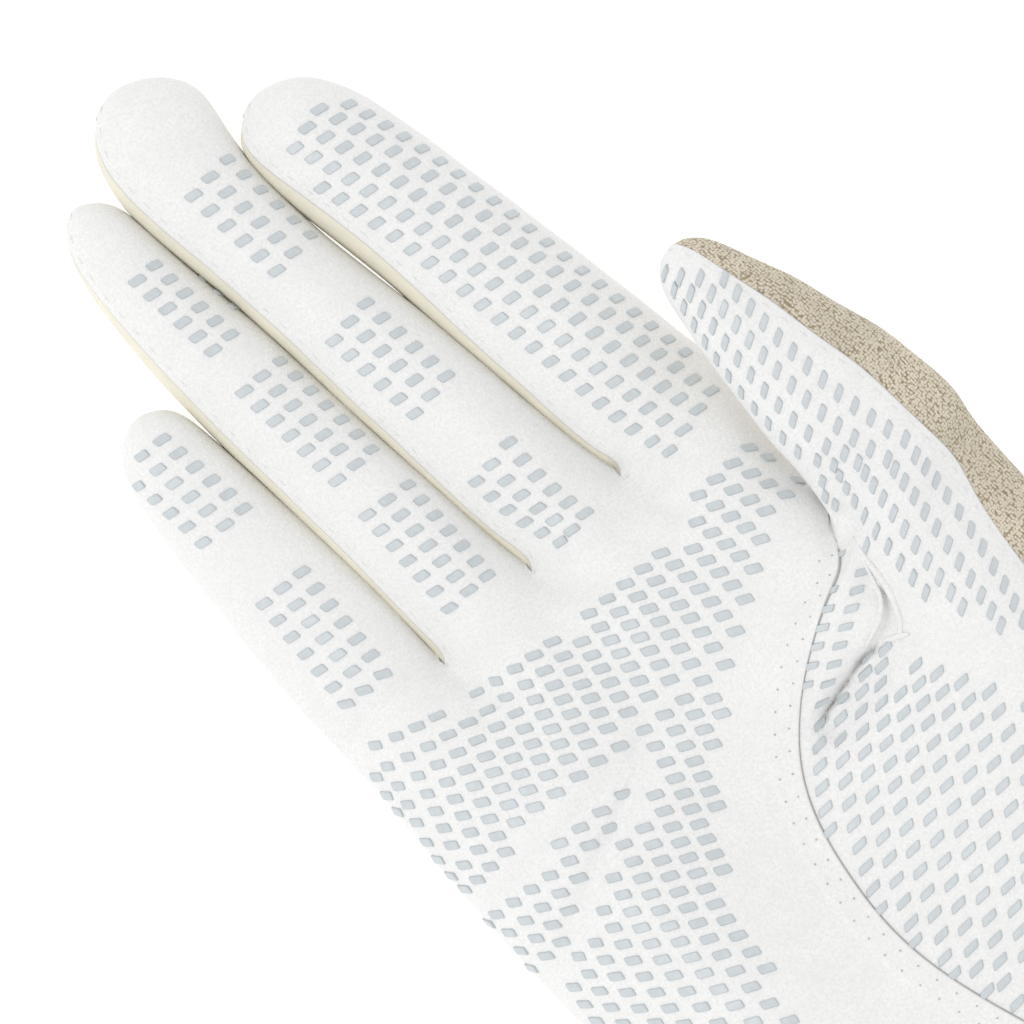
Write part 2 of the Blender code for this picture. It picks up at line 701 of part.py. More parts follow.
def main():
    for item in list(bpy.data.objects):
        bpy.data.objects.remove(item)
    skin, names = smooth_skin(build_cage(), SKIN_LEVEL)
    rest_and_fold(skin)
    built = [piece_walls(name, skin, names.index(name)) for name in names]
    built.append(wrist_binding(skin))
    built.append(closure_tab())
    for piece in built:
        give_material(piece)
    bpy.data.meshes.remove(skin)


main()
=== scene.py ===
"""Looks of a right-hand golf glove, filled as if worn and lying palm up.

The skin of the glove is the same cage of four-sided faces as in the solid model, smoothed
further. Each cut piece of suede or leather gets its wall, its folds and its finish, and the
grip pads and the stitches are set out over the skin with geometry nodes.
"""

import math
from collections import namedtuple

import bmesh
import bpy
import numpy as np
from mathutils import Matrix, Vector, noise
from mathutils.bvhtree import BVHTree
from mathutils.kdtree import KDTree


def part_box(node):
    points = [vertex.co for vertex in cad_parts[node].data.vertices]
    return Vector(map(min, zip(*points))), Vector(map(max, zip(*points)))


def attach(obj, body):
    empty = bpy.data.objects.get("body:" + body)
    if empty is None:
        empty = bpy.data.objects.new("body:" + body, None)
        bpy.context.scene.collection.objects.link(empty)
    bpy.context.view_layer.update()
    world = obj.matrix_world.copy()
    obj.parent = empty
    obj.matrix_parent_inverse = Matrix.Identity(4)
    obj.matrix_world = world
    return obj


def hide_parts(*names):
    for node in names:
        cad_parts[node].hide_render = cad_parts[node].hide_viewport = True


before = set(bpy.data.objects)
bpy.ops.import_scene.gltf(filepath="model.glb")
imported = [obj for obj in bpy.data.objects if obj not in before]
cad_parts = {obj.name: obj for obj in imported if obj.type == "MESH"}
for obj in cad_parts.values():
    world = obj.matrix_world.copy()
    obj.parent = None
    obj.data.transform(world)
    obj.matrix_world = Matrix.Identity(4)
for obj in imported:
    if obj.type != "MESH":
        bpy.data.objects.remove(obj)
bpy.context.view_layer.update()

bl_info = {
    "name": "Golf glove",
    "version": (1, 0, 0),
    "blender": (4, 5, 0),
    "location": "3D Viewport > Sidebar > Glove",
    "description": "Builds a filled golf glove with suede, leather, grip pads and stitching",
    "category": "Add Mesh",
}

MM = 0.001

# Sizes of the glove, the same as in the solid model, in metres
INDEX_WIDTH = 0.0216
MIDDLE_WIDTH = 0.0186
RING_WIDTH = 0.0183
LITTLE_WIDTH = 0.0190
INDEX_LENGTH = 0.0754
MIDDLE_LENGTH = 0.0906
RING_LENGTH = 0.0833
LITTLE_LENGTH = 0.0562
INDEX_DEPTH = 0.0175
MIDDLE_DEPTH = 0.0178
RING_DEPTH = 0.0168
LITTLE_DEPTH = 0.0155
FINGER_CURL = 0.0035
THUMB_LENGTH = 0.0440
THUMB_WIDTH = 0.0228
THUMB_DEPTH = 0.0210
THUMB_HEIGHT = 0.0250
PALM_LENGTH = 0.1100
PALM_DEPTH = 0.0340
CROTCH_Y = 0.0420
WALL = 0.0011
SEAM_GAP = 0.0003
FINGER_GAP = 0.0001
CROTCH_OPENING = 0.0003
BINDING_HEIGHT = 0.0050
BINDING_LIP = 0.0006
TAB_WALL = 0.0019
TAB_GAP = 0.0005
FIT_ROUNDS = 4
KNUCKLE_WIDTH = INDEX_WIDTH + MIDDLE_WIDTH + RING_WIDTH + LITTLE_WIDTH
RADIAL_EDGE = 0.463 * KNUCKLE_WIDTH
WRIST_LIFT = TAB_WALL + TAB_GAP

# How far each side line of a finger has drifted from its place at the crotch line
SideRow = namedtuple("SideRow", "along index_side index_middle middle_ring ring_little little_side")
SIDE_LINES = (
    SideRow(0.000, 0.000, 0.000, 0.000, 0.000, 0.000),
    SideRow(0.143, -0.013, -0.012, -0.004, 0.014, 0.009),
    SideRow(0.309, -0.031, -0.023, -0.010, 0.017, 0.032),
    SideRow(0.475, -0.050, -0.034, -0.013, 0.010, 0.059),
    SideRow(0.640, -0.074, -0.049, -0.015, 0.021, 0.088),
    SideRow(0.773, -0.094, -0.052, -0.026, 0.041, 0.110),
    SideRow(0.905, -0.115, -0.052, -0.026, 0.058, 0.130),
)

# How far the two sides of a finger draw in towards its tip, as shares of its width
TipRow = namedtuple("TipRow", "along radial ulnar")
TIP_PLACES = (0.62, 0.80, 0.90, 0.96, 0.99)


def tip_rows(radial, ulnar):
    return [TipRow(*row) for row in zip(TIP_PLACES, radial, ulnar)]


INDEX_TIP = tip_rows((0.00, 0.00, 0.05, 0.15, 0.30), (0.02, 0.01, 0.03, 0.09, 0.23))
MIDDLE_TIP = tip_rows((0.01, -0.06, -0.17, -0.06, 0.14), (0.00, 0.00, 0.05, 0.19, 0.37))
RING_TIP = tip_rows((0.00, 0.01, 0.01, 0.05, 0.16), (0.00, 0.00, 0.05, 0.13, 0.26))
LITTLE_TIP = tip_rows((0.00, 0.01, 0.04, 0.11, 0.23), (0.00, 0.03, 0.08, 0.16, 0.28))

# Height of a finger's front and back as shares of its depth, and its curl off the floor
HeightRow = namedtuple("HeightRow", "along front back curl")
FINGER_HEIGHTS = (
    HeightRow(0.00, 1.00, -0.02, 0.00),
    HeightRow(0.08, 1.00, -0.02, 0.00),
    HeightRow(0.24, 1.03, -0.02, 0.00),
    HeightRow(0.43, 0.97, -0.02, 0.00),
    HeightRow(0.62, 0.96, -0.02, 0.06),
    HeightRow(0.80, 0.94, -0.02, 0.35),
    HeightRow(0.90, 0.87, 0.05, 0.65),
    HeightRow(0.96, 0.76, 0.16, 0.85),
    HeightRow(0.99, 0.64, 0.30, 0.95),
    HeightRow(1.00, 0.49, 0.49, 1.00),
)

# Angles round a finger of its eight columns, along its length and at its tip
FINGER_ANGLES = (0, 40, 90, 140, 180, 220, 270, 320)
TIP_ANGLES = (0, 40, 90, 158, 180, 206, 270, 336)
TIP_START = 0.80
TIP_END = 0.99
# Near the webs the palm panel rolls further round the little-finger side of each finger
ROLL_COLUMN = 3
ROLL_ANGLE = 22
ROLL_END = 0.55
# Where a finger starts to narrow, how far up its crotch gap opens, and how full its two halves are
TAPER_START = 0.43
CROTCH_REACH = 0.24
FRONT_FULLNESS = 0.92
BACK_FULLNESS = 0.80

Finger = namedtuple("Finger", "length width depth radial_line ulnar_line tip")
FINGERS = (
    Finger(INDEX_LENGTH, INDEX_WIDTH, INDEX_DEPTH, "index_side", "index_middle", INDEX_TIP),
    Finger(MIDDLE_LENGTH, MIDDLE_WIDTH, MIDDLE_DEPTH, "index_middle", "middle_ring", MIDDLE_TIP),
    Finger(RING_LENGTH, RING_WIDTH, RING_DEPTH, "middle_ring", "ring_little", RING_TIP),
    Finger(LITTLE_LENGTH, LITTLE_WIDTH, LITTLE_DEPTH, "ring_little", "little_side", LITTLE_TIP),
)
LINE_START = {
    "index_side": RADIAL_EDGE,
    "index_middle": RADIAL_EDGE - INDEX_WIDTH,
    "middle_ring": RADIAL_EDGE - INDEX_WIDTH - MIDDLE_WIDTH,
    "ring_little": RADIAL_EDGE - INDEX_WIDTH - MIDDLE_WIDTH - RING_WIDTH,
    "little_side": RADIAL_EDGE - KNUCKLE_WIDTH,
}

# The thumb's two sides as shares of half its width, and its height and depth
ThumbRow = namedtuple("ThumbRow", "along ulnar radial depth lift")
THUMB_ROWS = (
    ThumbRow(0.00, -1.00, 1.00, 1.00, 0.00),
    ThumbRow(0.19, -1.00, 1.02, 0.94, 0.05),
    ThumbRow(0.34, -0.94, 0.97, 0.89, 0.09),
    ThumbRow(0.49, -0.85, 0.84, 0.83, 0.12),
    ThumbRow(0.64, -0.74, 0.73, 0.76, 0.15),
    ThumbRow(0.80, -0.60, 0.54, 0.64, 0.17),
    ThumbRow(0.92, -0.45, 0.39, 0.48, 0.18),
    ThumbRow(0.98, -0.25, 0.21, 0.28, 0.18),
    ThumbRow(1.00, 0.00, 0.00, 0.00, 0.18),
)
THUMB_MIDDLE = 0.556
THUMB_LEAN = -0.02
THUMB_FULLNESS = 0.95
THUMB_ANGLES = {
    "T0": 18,
    "T1": 67,
    "T2": 88,
    "T3": 108,
    "T4": 128,
    "T5": 148,
    "F1": 168,
    "F0": 195,
    "B1": 222,
    "K3": 250,
    "K2": 285,
    "K1": 335,
}

# The web between palm and thumb: front end of the seam, deepest point and back
WebPoint = namedtuple("WebPoint", "x along height")
THUMB_WEB = {
    "F1": WebPoint(0.359, 0.262, 0.79),
    "F0": WebPoint(0.402, 0.222, 0.57),
    "B1": WebPoint(0.390, 0.252, 0.27),
}

# Palm rows: places as shares of the palm's length, the knuckle width and the palm's depth
PalmRow = namedtuple("PalmRow", "along ulnar radial depth seam border side under back")
UPPER_ROWS = (
    PalmRow(0.115, -0.556, 0.428, 0.66, 0.365, 0.000, 0.38, 0.00, -0.01),
    PalmRow(0.245, -0.577, 0.404, 0.76, 0.355, 0.000, 0.41, 0.00, -0.01),
)
LOWER_ROWS = (
    PalmRow(0.298, -0.584, 0.697, 0.80, 0.268, 0.612, 0.72, 0.32, -0.01),
    PalmRow(0.355, -0.590, 0.688, 0.83, 0.120, 0.585, 0.70, 0.24, -0.01),
    PalmRow(0.445, -0.596, 0.677, 0.86, -0.004, 0.556, 0.65, 0.12, -0.01),
    PalmRow(0.564, -0.591, 0.640, 0.90, -0.066, 0.525, 0.58, 0.04, -0.01),
    PalmRow(0.691, -0.570, 0.572, 0.95, -0.083, 0.470, 0.51, 0.00, 0.85),
    PalmRow(0.845, -0.530, 0.470, 0.99, -0.040, 0.390, 0.48, 0.00, 1.00),
    PalmRow(1.000, -0.484, 0.394, 1.00, 0.026, 0.310, 0.47, 0.00, 1.00),
)
UPPER_FRONT = (0.120, 0.245, 0.370, 0.485, 0.600, 0.715, 0.840, 0.955)
UPPER_BACK = (0.950, 0.760, 0.560, 0.340, 0.120, -0.120, -0.340, -0.600, -0.880)
LOWER_BACK = (0.320, 0.160, 0.000, -0.160, -0.320, -0.480, -0.630, -0.780, -0.920)
THUMB_BACK = (0.860, 0.680, 0.500)
THUMB_COLUMNS = 5
# How squarely the palm falls away to the thumb side, to the little finger's, and under the hand
RADIAL_SQUARE = 3.2
ULNAR_SQUARE = 2.6
UNDER_SQUARE = 1.5
BACK_SQUARE = 4
# Height of the little finger's side, as a share and as a share of the row's depth
ULNAR_SIDE = 0.20
ULNAR_SIDE_GAIN = 0.28

# Heights of the crotch between two fingers, and how far it reaches up, as shares of their depth
CROTCH_FRONT = 0.74
CROTCH_DEEP = 0.50
CROTCH_BACK = 0.17
CROTCH_RISE = 0.1

# Soft bumps and hollows of the palm: centre, reach and height
Bump = namedtuple("Bump", "x y reach_x reach_y height")
PALM_BUMPS = (
    Bump(0.520, 0.400, 0.24, 0.36, 0.32),
    Bump(-0.400, 0.620, 0.17, 0.30, 0.12),
    Bump(-0.050, 0.480, 0.20, 0.22, -0.14),
    Bump(0.320, 0.090, 0.10, 0.08, 0.07),
    Bump(0.060, 0.080, 0.09, 0.08, 0.07),
    Bump(-0.175, 0.080, 0.09, 0.08, 0.06),
    Bump(-0.410, 0.090, 0.10, 0.08, 0.06),
)

# Folds pressed into the palm side: a run of points, its reach across and its depth
Fold = namedtuple("Fold", "points reach depth")
FOLDS = (
    Fold(((0.385, 0.250), (0.355, 0.340), (0.335, 0.395), (0.240, 0.408), (0.120, 0.415)), 0.038, 0.090),
    Fold(((-0.160, 0.255), (-0.350, 0.262), (-0.550, 0.265)), 0.030, 0.030),
    Fold(((-0.150, 0.270), (-0.330, 0.320), (-0.530, 0.375)), 0.035, 0.040),
    Fold(((-0.052, 0.000), (-0.030, 0.035), (0.010, 0.070)), 0.030, 0.050),
    Fold(((0.190, 0.000), (0.205, 0.040), (0.215, 0.080)), 0.030, 0.045),
    Fold(((-0.293, 0.000), (-0.275, 0.040), (-0.250, 0.090)), 0.030, 0.050),
)

WHITE_PIECES = ("palm_panel", "thumb_panel")
LEATHER_PIECES = (
    "hand_back",
    "thumb_back",
    "fourchette_index_middle",
    "fourchette_middle_ring",
    "fourchette_ring_little",
)

# How far each white piece stands above the leather that it is sewn over, in metres
PIECE_LIFT = {"palm_panel": 0.00038, "thumb_panel": 0.00016}
EDGE_ROUND = 0.00012
BAND_LIFT = 0.00020
BAND_WIDTH = 0.0046
BAND_SLOPE = 0.0008
# Slow unevenness of stuffed cloth, full from this height above the floor up
WAVE_HEIGHT = 0.00016
WAVE_LENGTH = 0.0085
WAVE_START = 0.004
SKIN_LEVEL = 4
SHARP_ANGLE = math.radians(50)


def between(rows, along, column):
    """Value of one column of a table at a place along it, read on a straight line."""
    if along <= rows[0].along:
        return getattr(rows[0], column)
    for low, high in zip(rows, rows[1:]):
        if along <= high.along:
            part = (along - low.along) / (high.along - low.along)
            return getattr(low, column) + part * (getattr(high, column) - getattr(low, column))
    return getattr(rows[-1], column)


def line_x(line, y):
    """X of a side line of a finger at a height above the crotch line."""
    drift = between(SIDE_LINES, (y - CROTCH_Y) / MIDDLE_LENGTH, line)
    return LINE_START[line] + drift * KNUCKLE_WIDTH


def power(value, exponent):
    return math.copysign(abs(value) ** exponent, value)


def oval(middle, half, angle, fullness):
    """A point of a rounded oval at an angle in degrees, from +X over +Z."""
    turn = math.radians(angle)
    x = middle[0] + half[0] * power(math.cos(turn), fullness)
    z = middle[1] + half[1] * power(math.sin(turn), fullness)
    return x, z


def finger_ring(finger, along):
    """Eight points round a finger at a share of its length."""
    y = CROTCH_Y + along * finger.length
    width = finger.width if along > TAPER_START else 0.0
    draw_in = width * between(finger.tip, along, "radial")
    draw_out = width * between(finger.tip, along, "ulnar")
    gap = FINGER_GAP + CROTCH_OPENING * max(0.0, 1 - along / CROTCH_REACH)
    radial = line_x(finger.radial_line, y) - gap / 2 - draw_in
    ulnar = line_x(finger.ulnar_line, y) + gap / 2 + draw_out
    lift = FINGER_CURL * between(FINGER_HEIGHTS, along, "curl")
    front = finger.depth * between(FINGER_HEIGHTS, along, "front") + lift
    back = finger.depth * between(FINGER_HEIGHTS, along, "back") + lift
    middle = ((radial + ulnar) / 2, (front + back) / 2)
    half = ((radial - ulnar) / 2, (front - back) / 2)
    toward_tip = min(1.0, max(0.0, (along - TIP_START) / (TIP_END - TIP_START)))
    points = []
    for column, (shaft_angle, tip_angle) in enumerate(zip(FINGER_ANGLES, TIP_ANGLES)):
        angle = shaft_angle + toward_tip * (tip_angle - shaft_angle)
        if column == ROLL_COLUMN:
            angle += ROLL_ANGLE * max(0.0, 1 - along / ROLL_END)
        x, z = oval(middle, half, angle, FRONT_FULLNESS if angle < 181 else BACK_FULLNESS)
        points.append(Vector((x, y, z)))
    return points


def thumb_ring(row):
    """Twelve points round the thumb, keyed by the column that each one starts."""
    half_width = THUMB_WIDTH / 2
    y = CROTCH_Y - UPPER_ROWS[-1].along * PALM_LENGTH + row.along * THUMB_LENGTH
    axis = THUMB_MIDDLE * KNUCKLE_WIDTH + THUMB_LEAN * row.along * THUMB_LENGTH
    radial = axis + row.radial * half_width
    ulnar = axis + row.ulnar * half_width
    height = THUMB_HEIGHT + row.lift * PALM_DEPTH
    middle = ((radial + ulnar) / 2, height)
    half = ((radial - ulnar) / 2, row.depth * THUMB_DEPTH / 2)
    points = {}
    for name, angle in THUMB_ANGLES.items():
        x, z = oval(middle, half, angle, THUMB_FULLNESS)
        points[name] = Vector((x, y, z))
    return points


def web_points():
    points = {}
    for name, place in THUMB_WEB.items():
        y = CROTCH_Y - place.along * PALM_LENGTH
        points[name] = Vector((place.x * KNUCKLE_WIDTH, y, place.height * PALM_DEPTH))
    return points


def palm_front(row, x):
    """Height of the palm side at X on one row of the palm."""
    ulnar = row.ulnar * KNUCKLE_WIDTH
    radial = row.radial * KNUCKLE_WIDTH
    across = (2 * x - ulnar - radial) / (radial - ulnar)
    side = palm_side(row, across)
    square = RADIAL_SQUARE if across > 0 else ULNAR_SQUARE
    rise = math.sqrt(1 - min(1.0, abs(across)) ** square)
    bumps = 0.0
    for bump in PALM_BUMPS:
        away_x = (x / KNUCKLE_WIDTH - bump.x) / bump.reach_x
        away_y = (row.along - bump.y) / bump.reach_y
        bumps += bump.height * math.exp(-away_x * away_x - away_y * away_y)
    return side + (row.depth * PALM_DEPTH - side + bumps * PALM_DEPTH) * rise


def palm_side(row, across):
    """Height of the hand's widest line, on the thumb side or on the little finger's."""
    return PALM_DEPTH * (row.side if across > 0 else ULNAR_SIDE + ULNAR_SIDE_GAIN * row.depth)


def palm_back(row, across):
    """Height of the hand's back at a share of the way across a row."""
    under = row.under * PALM_DEPTH * max(0.0, across) ** UNDER_SQUARE
    floor = row.back * WRIST_LIFT + under
    rise = 1 - math.sqrt(1 - abs(across) ** BACK_SQUARE)
    return floor + (palm_side(row, across) - floor) * rise


def palm_row_points(row, front_shares, back_shares, names_back):
    """Points of a palm row from the seam column round the ulnar side to the back."""
    ulnar = row.ulnar * KNUCKLE_WIDTH
    radial = row.radial * KNUCKLE_WIDTH
    seam = row.seam * KNUCKLE_WIDTH
    y = CROTCH_Y - row.along * PALM_LENGTH
    points = {"F1": Vector((seam, y, palm_front(row, seam)))}
    for number, share in enumerate(front_shares):
        x = seam + share * (ulnar - seam)
        points[f"F{number + 2}"] = Vector((x, y, palm_front(row, x)))
    points["F10"] = Vector((ulnar, y, palm_side(row, -1)))
    for name, share in zip(names_back, back_shares):
        x = (radial + ulnar) / 2 + share * (radial - ulnar) / 2
        points[name] = Vector((x, y, palm_back(row, share)))
    return points


class Cage:
    """Points and faces of the whole skin, each face marked with its piece."""

    def __init__(self):
        self.points = []
        self.faces = []
        self.pieces = []

    def add(self, point):
        self.points.append(Vector(point))
        return len(self.points) - 1

    def strip(self, upper, lower, pieces):
        """Faces between two rings of the same length, the upper one nearer the tips."""
        count = len(upper)
        for k in range(count):
            after = (k + 1) % count
            self.faces.append((upper[k], upper[after], lower[after], lower[k]))
            self.pieces.append(pieces[k])

    def close(self, ring, pole, pieces):
        count = len(ring)
        for k in range(count):
            self.faces.append((pole, ring[(k + 1) % count], ring[k]))
            self.pieces.append(pieces[k])


FRONT_NAMES = [f"F{k}" for k in range(11)]
BACK_NAMES = [f"B{k}" for k in range(1, 10)]
UPPER_ORDER = FRONT_NAMES + BACK_NAMES[::-1]
THUMB_ORDER = list(THUMB_ANGLES)
SEAM_NAMES = ["T0", "T1", "T2", "T3", "T4", "T5"]
LOWER_ORDER = SEAM_NAMES + FRONT_NAMES[1:] + BACK_NAMES[::-1] + ["K3", "K2", "K1"]


def column_piece(first, second):
    """The cut piece that lies between two neighbouring columns of the hand."""
    pair = {first, second}
    if pair & {"K1", "K2", "K3"} or pair == {"T0", "T1"}:
        return "thumb_back"
    if pair & {"T1", "T2", "T3", "T4", "T5"}:
        return "thumb_panel"
    if first.startswith("F") and second.startswith("F"):
        return "palm_panel"
    return "hand_back"


def pieces_round(order):
    return [column_piece(order[k], order[(k + 1) % len(order)]) for k in range(len(order))]


FINGER_PIECES = (
    ("hand_back", "fourchette_index_middle", "fourchette_index_middle"),
    ("fourchette_index_middle", "fourchette_middle_ring", "fourchette_middle_ring"),
    ("fourchette_middle_ring", "fourchette_ring_little", "fourchette_ring_little"),
    ("fourchette_ring_little", "palm_panel", "hand_back"),
)
FINGER_COLUMNS = (
    ("F0", "F1", "F2", "F3", None, "B3", "B2", "B1"),
    (None, "F3", "F4", "F5", None, "B5", "B4", "B3"),
    (None, "F5", "F6", "F7", None, "B7", "B6", "B5"),
    (None, "F7", "F8", "F9", "F10", "B9", "B8", "B7"),
)


def crotch_points():
    """Shared points between neighbouring fingers: front, deep in the web, and back."""
    points = {}
    for number in range(3):
        here, after = FINGERS[number], FINGERS[number + 1]
        x = LINE_START[here.ulnar_line]
        depth = (here.depth + after.depth) / 2
        column = 2 * number + 3
        points[f"F{column}"] = Vector((x, CROTCH_Y, CROTCH_FRONT * depth))
        points[f"W{number}"] = Vector((x, CROTCH_Y + CROTCH_RISE * depth, CROTCH_DEEP * depth))
        points[f"B{column}"] = Vector((x, CROTCH_Y, CROTCH_BACK * depth))
    return points


def build_cage():
    cage = Cage()
    knuckle = {name: cage.add(point) for name, point in crotch_points().items()}
    first_rings = []
    for number, (finger, names) in enumerate(zip(FINGERS, FINGER_COLUMNS)):
        ring = []
        for k, (name, point) in enumerate(zip(names, finger_ring(finger, 0.0))):
            if name is None:
                name = f"W{number - 1}" if k == 0 else f"W{number}"
            if name not in knuckle:
                knuckle[name] = cage.add(point)
            ring.append(knuckle[name])
        first_rings.append(ring)

    for finger, ring, (radial, ulnar_front, ulnar_back) in zip(FINGERS, first_rings, FINGER_PIECES):
        pieces = ["palm_panel"] * 3 + [ulnar_front, ulnar_back, "hand_back", "hand_back", radial]
        lower = ring
        for row in FINGER_HEIGHTS[1:-1]:
            upper = [cage.add(point) for point in finger_ring(finger, row.along)]
            cage.strip(upper, lower, pieces)
            lower = upper
        tip = [cage.points[index] for index in lower]
        middle = sum(tip, Vector()) / len(tip)
        end = FINGER_HEIGHTS[-1]
        height = end.front * finger.depth + end.curl * FINGER_CURL
        pole = cage.add((middle.x, CROTCH_Y + finger.length, height))
        cage.close(lower, pole, ["palm_panel"] * 4 + ["hand_back"] * 4)

    upper = [knuckle[name] for name in UPPER_ORDER]
    pieces = pieces_round(UPPER_ORDER)
    for row in UPPER_ROWS:
        places = palm_row_points(row, UPPER_FRONT, UPPER_BACK, BACK_NAMES)
        side = row.radial * KNUCKLE_WIDTH
        places["F0"] = Vector((side, CROTCH_Y - row.along * PALM_LENGTH, palm_side(row, 1)))
        if row is UPPER_ROWS[-1]:
            places.update(web_points())
        row_index = {name: cage.add(places[name]) for name in UPPER_ORDER}
        lower = [row_index[name] for name in UPPER_ORDER]
        cage.strip(upper, lower, pieces)
        upper = lower

    web = thumb_ring(THUMB_ROWS[0])
    for name in THUMB_ORDER:
        if name not in row_index:
            row_index[name] = cage.add(web[name])
    thumb_pieces = pieces_round(THUMB_ORDER)
    for number in (THUMB_ORDER.index("F1"), THUMB_ORDER.index("F0")):
        thumb_pieces[number] = "thumb_panel"
    lower = [row_index[name] for name in THUMB_ORDER]
    for row in THUMB_ROWS[1:-1]:
        places = thumb_ring(row)
        ring = [cage.add(places[name]) for name in THUMB_ORDER]
        cage.strip(ring, lower, thumb_pieces)
        lower = ring
    end = thumb_ring(THUMB_ROWS[-1])
    cage.close(lower, cage.add(end["T0"]), thumb_pieces)

    upper = [row_index[name] for name in LOWER_ORDER]
    pieces = pieces_round(LOWER_ORDER)
    for row in LOWER_ROWS:
        places = palm_row_points(row, UPPER_FRONT, LOWER_BACK, BACK_NAMES)
        y = CROTCH_Y - row.along * PALM_LENGTH
        radial = row.radial * KNUCKLE_WIDTH
        ulnar = row.ulnar * KNUCKLE_WIDTH
        border = row.border * KNUCKLE_WIDTH
        seam = row.seam * KNUCKLE_WIDTH
        places["T0"] = Vector((radial, y, palm_side(row, 1)))
        for number in range(THUMB_COLUMNS):
            x = border + number / THUMB_COLUMNS * (seam - border)
            places[f"T{number + 1}"] = Vector((x, y, palm_front(row, x)))
        for name, share in zip(("K1", "K2", "K3"), THUMB_BACK):
            x = (radial + ulnar) / 2 + share * (radial - ulnar) / 2
            places[name] = Vector((x, y, palm_back(row, share)))
        lower = [cage.add(places[name]) for name in LOWER_ORDER]
        cage.strip(upper, lower, pieces)
        upper = lower
    return cage


def new_mesh(name, points, faces=(), edges=()):
    mesh = bpy.data.meshes.new(name)
    mesh.from_pydata([tuple(point) for point in points], list(edges), list(faces))
    mesh.update()
    return mesh


def add_values(mesh, name, values):
    layer = mesh.attributes.new(name, "FLOAT", "POINT")
    layer.data.foreach_set("value", values)


def add_vectors(mesh, name, vectors):
    layer = mesh.attributes.new(name, "FLOAT_VECTOR", "POINT")
    layer.data.foreach_set("vector", np.array([tuple(v) for v in vectors]).ravel())


def ring_faces(rings, sides, first=0, flip=False):
    """Faces between closed rings of points that follow each other."""
    faces = []
    for ring in range(rings - 1):
        low = first + ring * sides
        high = low + sides
        for k in range(sides):
            after = (k + 1) % sides
            face = (low + k, low + after, high + after, high + k)
            faces.append(face[:1] + face[:0:-1] if flip else face)
    return faces


def fix_normals(mesh):
    work = bmesh.new()
    work.from_mesh(mesh)
    bmesh.ops.recalc_face_normals(work, faces=work.faces)
    work.to_mesh(mesh)
    work.free()


def evaluated_mesh(source):
    graph = bpy.context.evaluated_depsgraph_get()
    graph.update()
    return bpy.data.meshes.new_from_object(source.evaluated_get(graph))


class SkinGrid:
    """Arrays of one smoothed skin: points, faces, the piece of each face, and its edges."""

    def __init__(self, mesh):
        count = len(mesh.vertices)
        self.points = np.empty(count * 3)
        mesh.vertices.foreach_get("co", self.points)
        self.points = self.points.reshape(-1, 3)
        self.faces = np.empty(len(mesh.loops), dtype=np.int64)
        mesh.loops.foreach_get("vertex_index", self.faces)
        self.faces = self.faces.reshape(-1, 4)
        self.marks = np.empty(len(mesh.polygons), dtype=np.int32)
        mesh.polygons.foreach_get("material_index", self.marks)
        self.starts = self.faces.ravel()
        self.ends = np.roll(self.faces, -1, axis=1).ravel()
        self.owner = np.repeat(np.arange(len(self.faces)), 4)
        keys = self.starts * count + self.ends
        order = np.argsort(keys)
        wanted = self.ends * count + self.starts
        place = np.clip(np.searchsorted(keys[order], wanted), 0, len(keys) - 1)
        found = keys[order][place] == wanted
        self.beyond = np.where(found, self.marks[self.owner[order][place]], -1)

    def normals(self):
        mesh = new_mesh("normals", self.points.tolist(), self.faces.tolist())
        found = np.empty(len(self.points) * 3)
        mesh.vertices.foreach_get("normal", found)
        bpy.data.meshes.remove(mesh)
        return found.reshape(-1, 3)

    def rim(self, mark):
        """Edges along the cut border of a piece: start, end and the piece beyond."""
        here = (self.marks[self.owner] == mark) & (self.beyond != mark)
        return self.starts[here], self.ends[here], self.beyond[here]


def run_distance(points, run):
    """Distance in plan of many points from a run of straight stretches."""
    nearest = np.full(len(points), np.inf)
    for start, end in zip(run, run[1:]):
        start, end = np.array(start), np.array(end)
        step = end - start
        along = np.clip((points - start) @ step / (step @ step), 0.0, 1.0)
        away = np.linalg.norm(points - start - along[:, None] * step, axis=1)
        nearest = np.minimum(nearest, away)
    return nearest


# Small hollows of the palm side: a run of points, its reach across and its depth, in millimetres
Crease = namedtuple("Crease", "points reach depth")
CREASES = (
    Crease(((27.4, 4.2), (26.2, 2.6), (24.9, 1.4), (23.2, 0.7), (21.4, 0.5)), 1.05, 1.30),
    Crease(((20.4, -0.2), (19.0, 0.1), (17.4, 0.0)), 0.80, 2.40),
    Crease(((31.2, 16.6), (32.0, 15.6), (32.0, 14.0), (31.2, 12.9)), 0.80, 0.50),
    Crease(((-7.1, 17.8), (-11.7, 14.4), (-17.8, 11.7), (-24.8, 9.0), (-31.9, 6.2), (-38.0, 3.8)),
           1.50, 0.45),
    Crease(((-22.3, 42.0), (-22.6, 37.1), (-24.7, 33.2)), 1.50, 0.90),
    Crease(((-3.8, 43.5), (-3.9, 39.9), (-3.5, 37.4)), 1.30, 0.70),
    Crease(((14.9, 43.5), (15.9, 40.3), (17.8, 37.8)), 1.20, 0.70),
    Crease(((52.5, 13.0), (50.5, 7.0), (48.0, 0.5)), 1.30, 0.70),
)

# Laps of the cloth: above the run the skin lies lower, and it comes back over the reach
LAPS = (
    Crease(((21.6, -1.0), (18.1, -0.8), (14.9, -1.3), (11.5, -2.0), (7.6, -2.8)), 1.70, 2.60),
)
# The share of its reach over which a lap drops
LAP_EDGE = 0.30


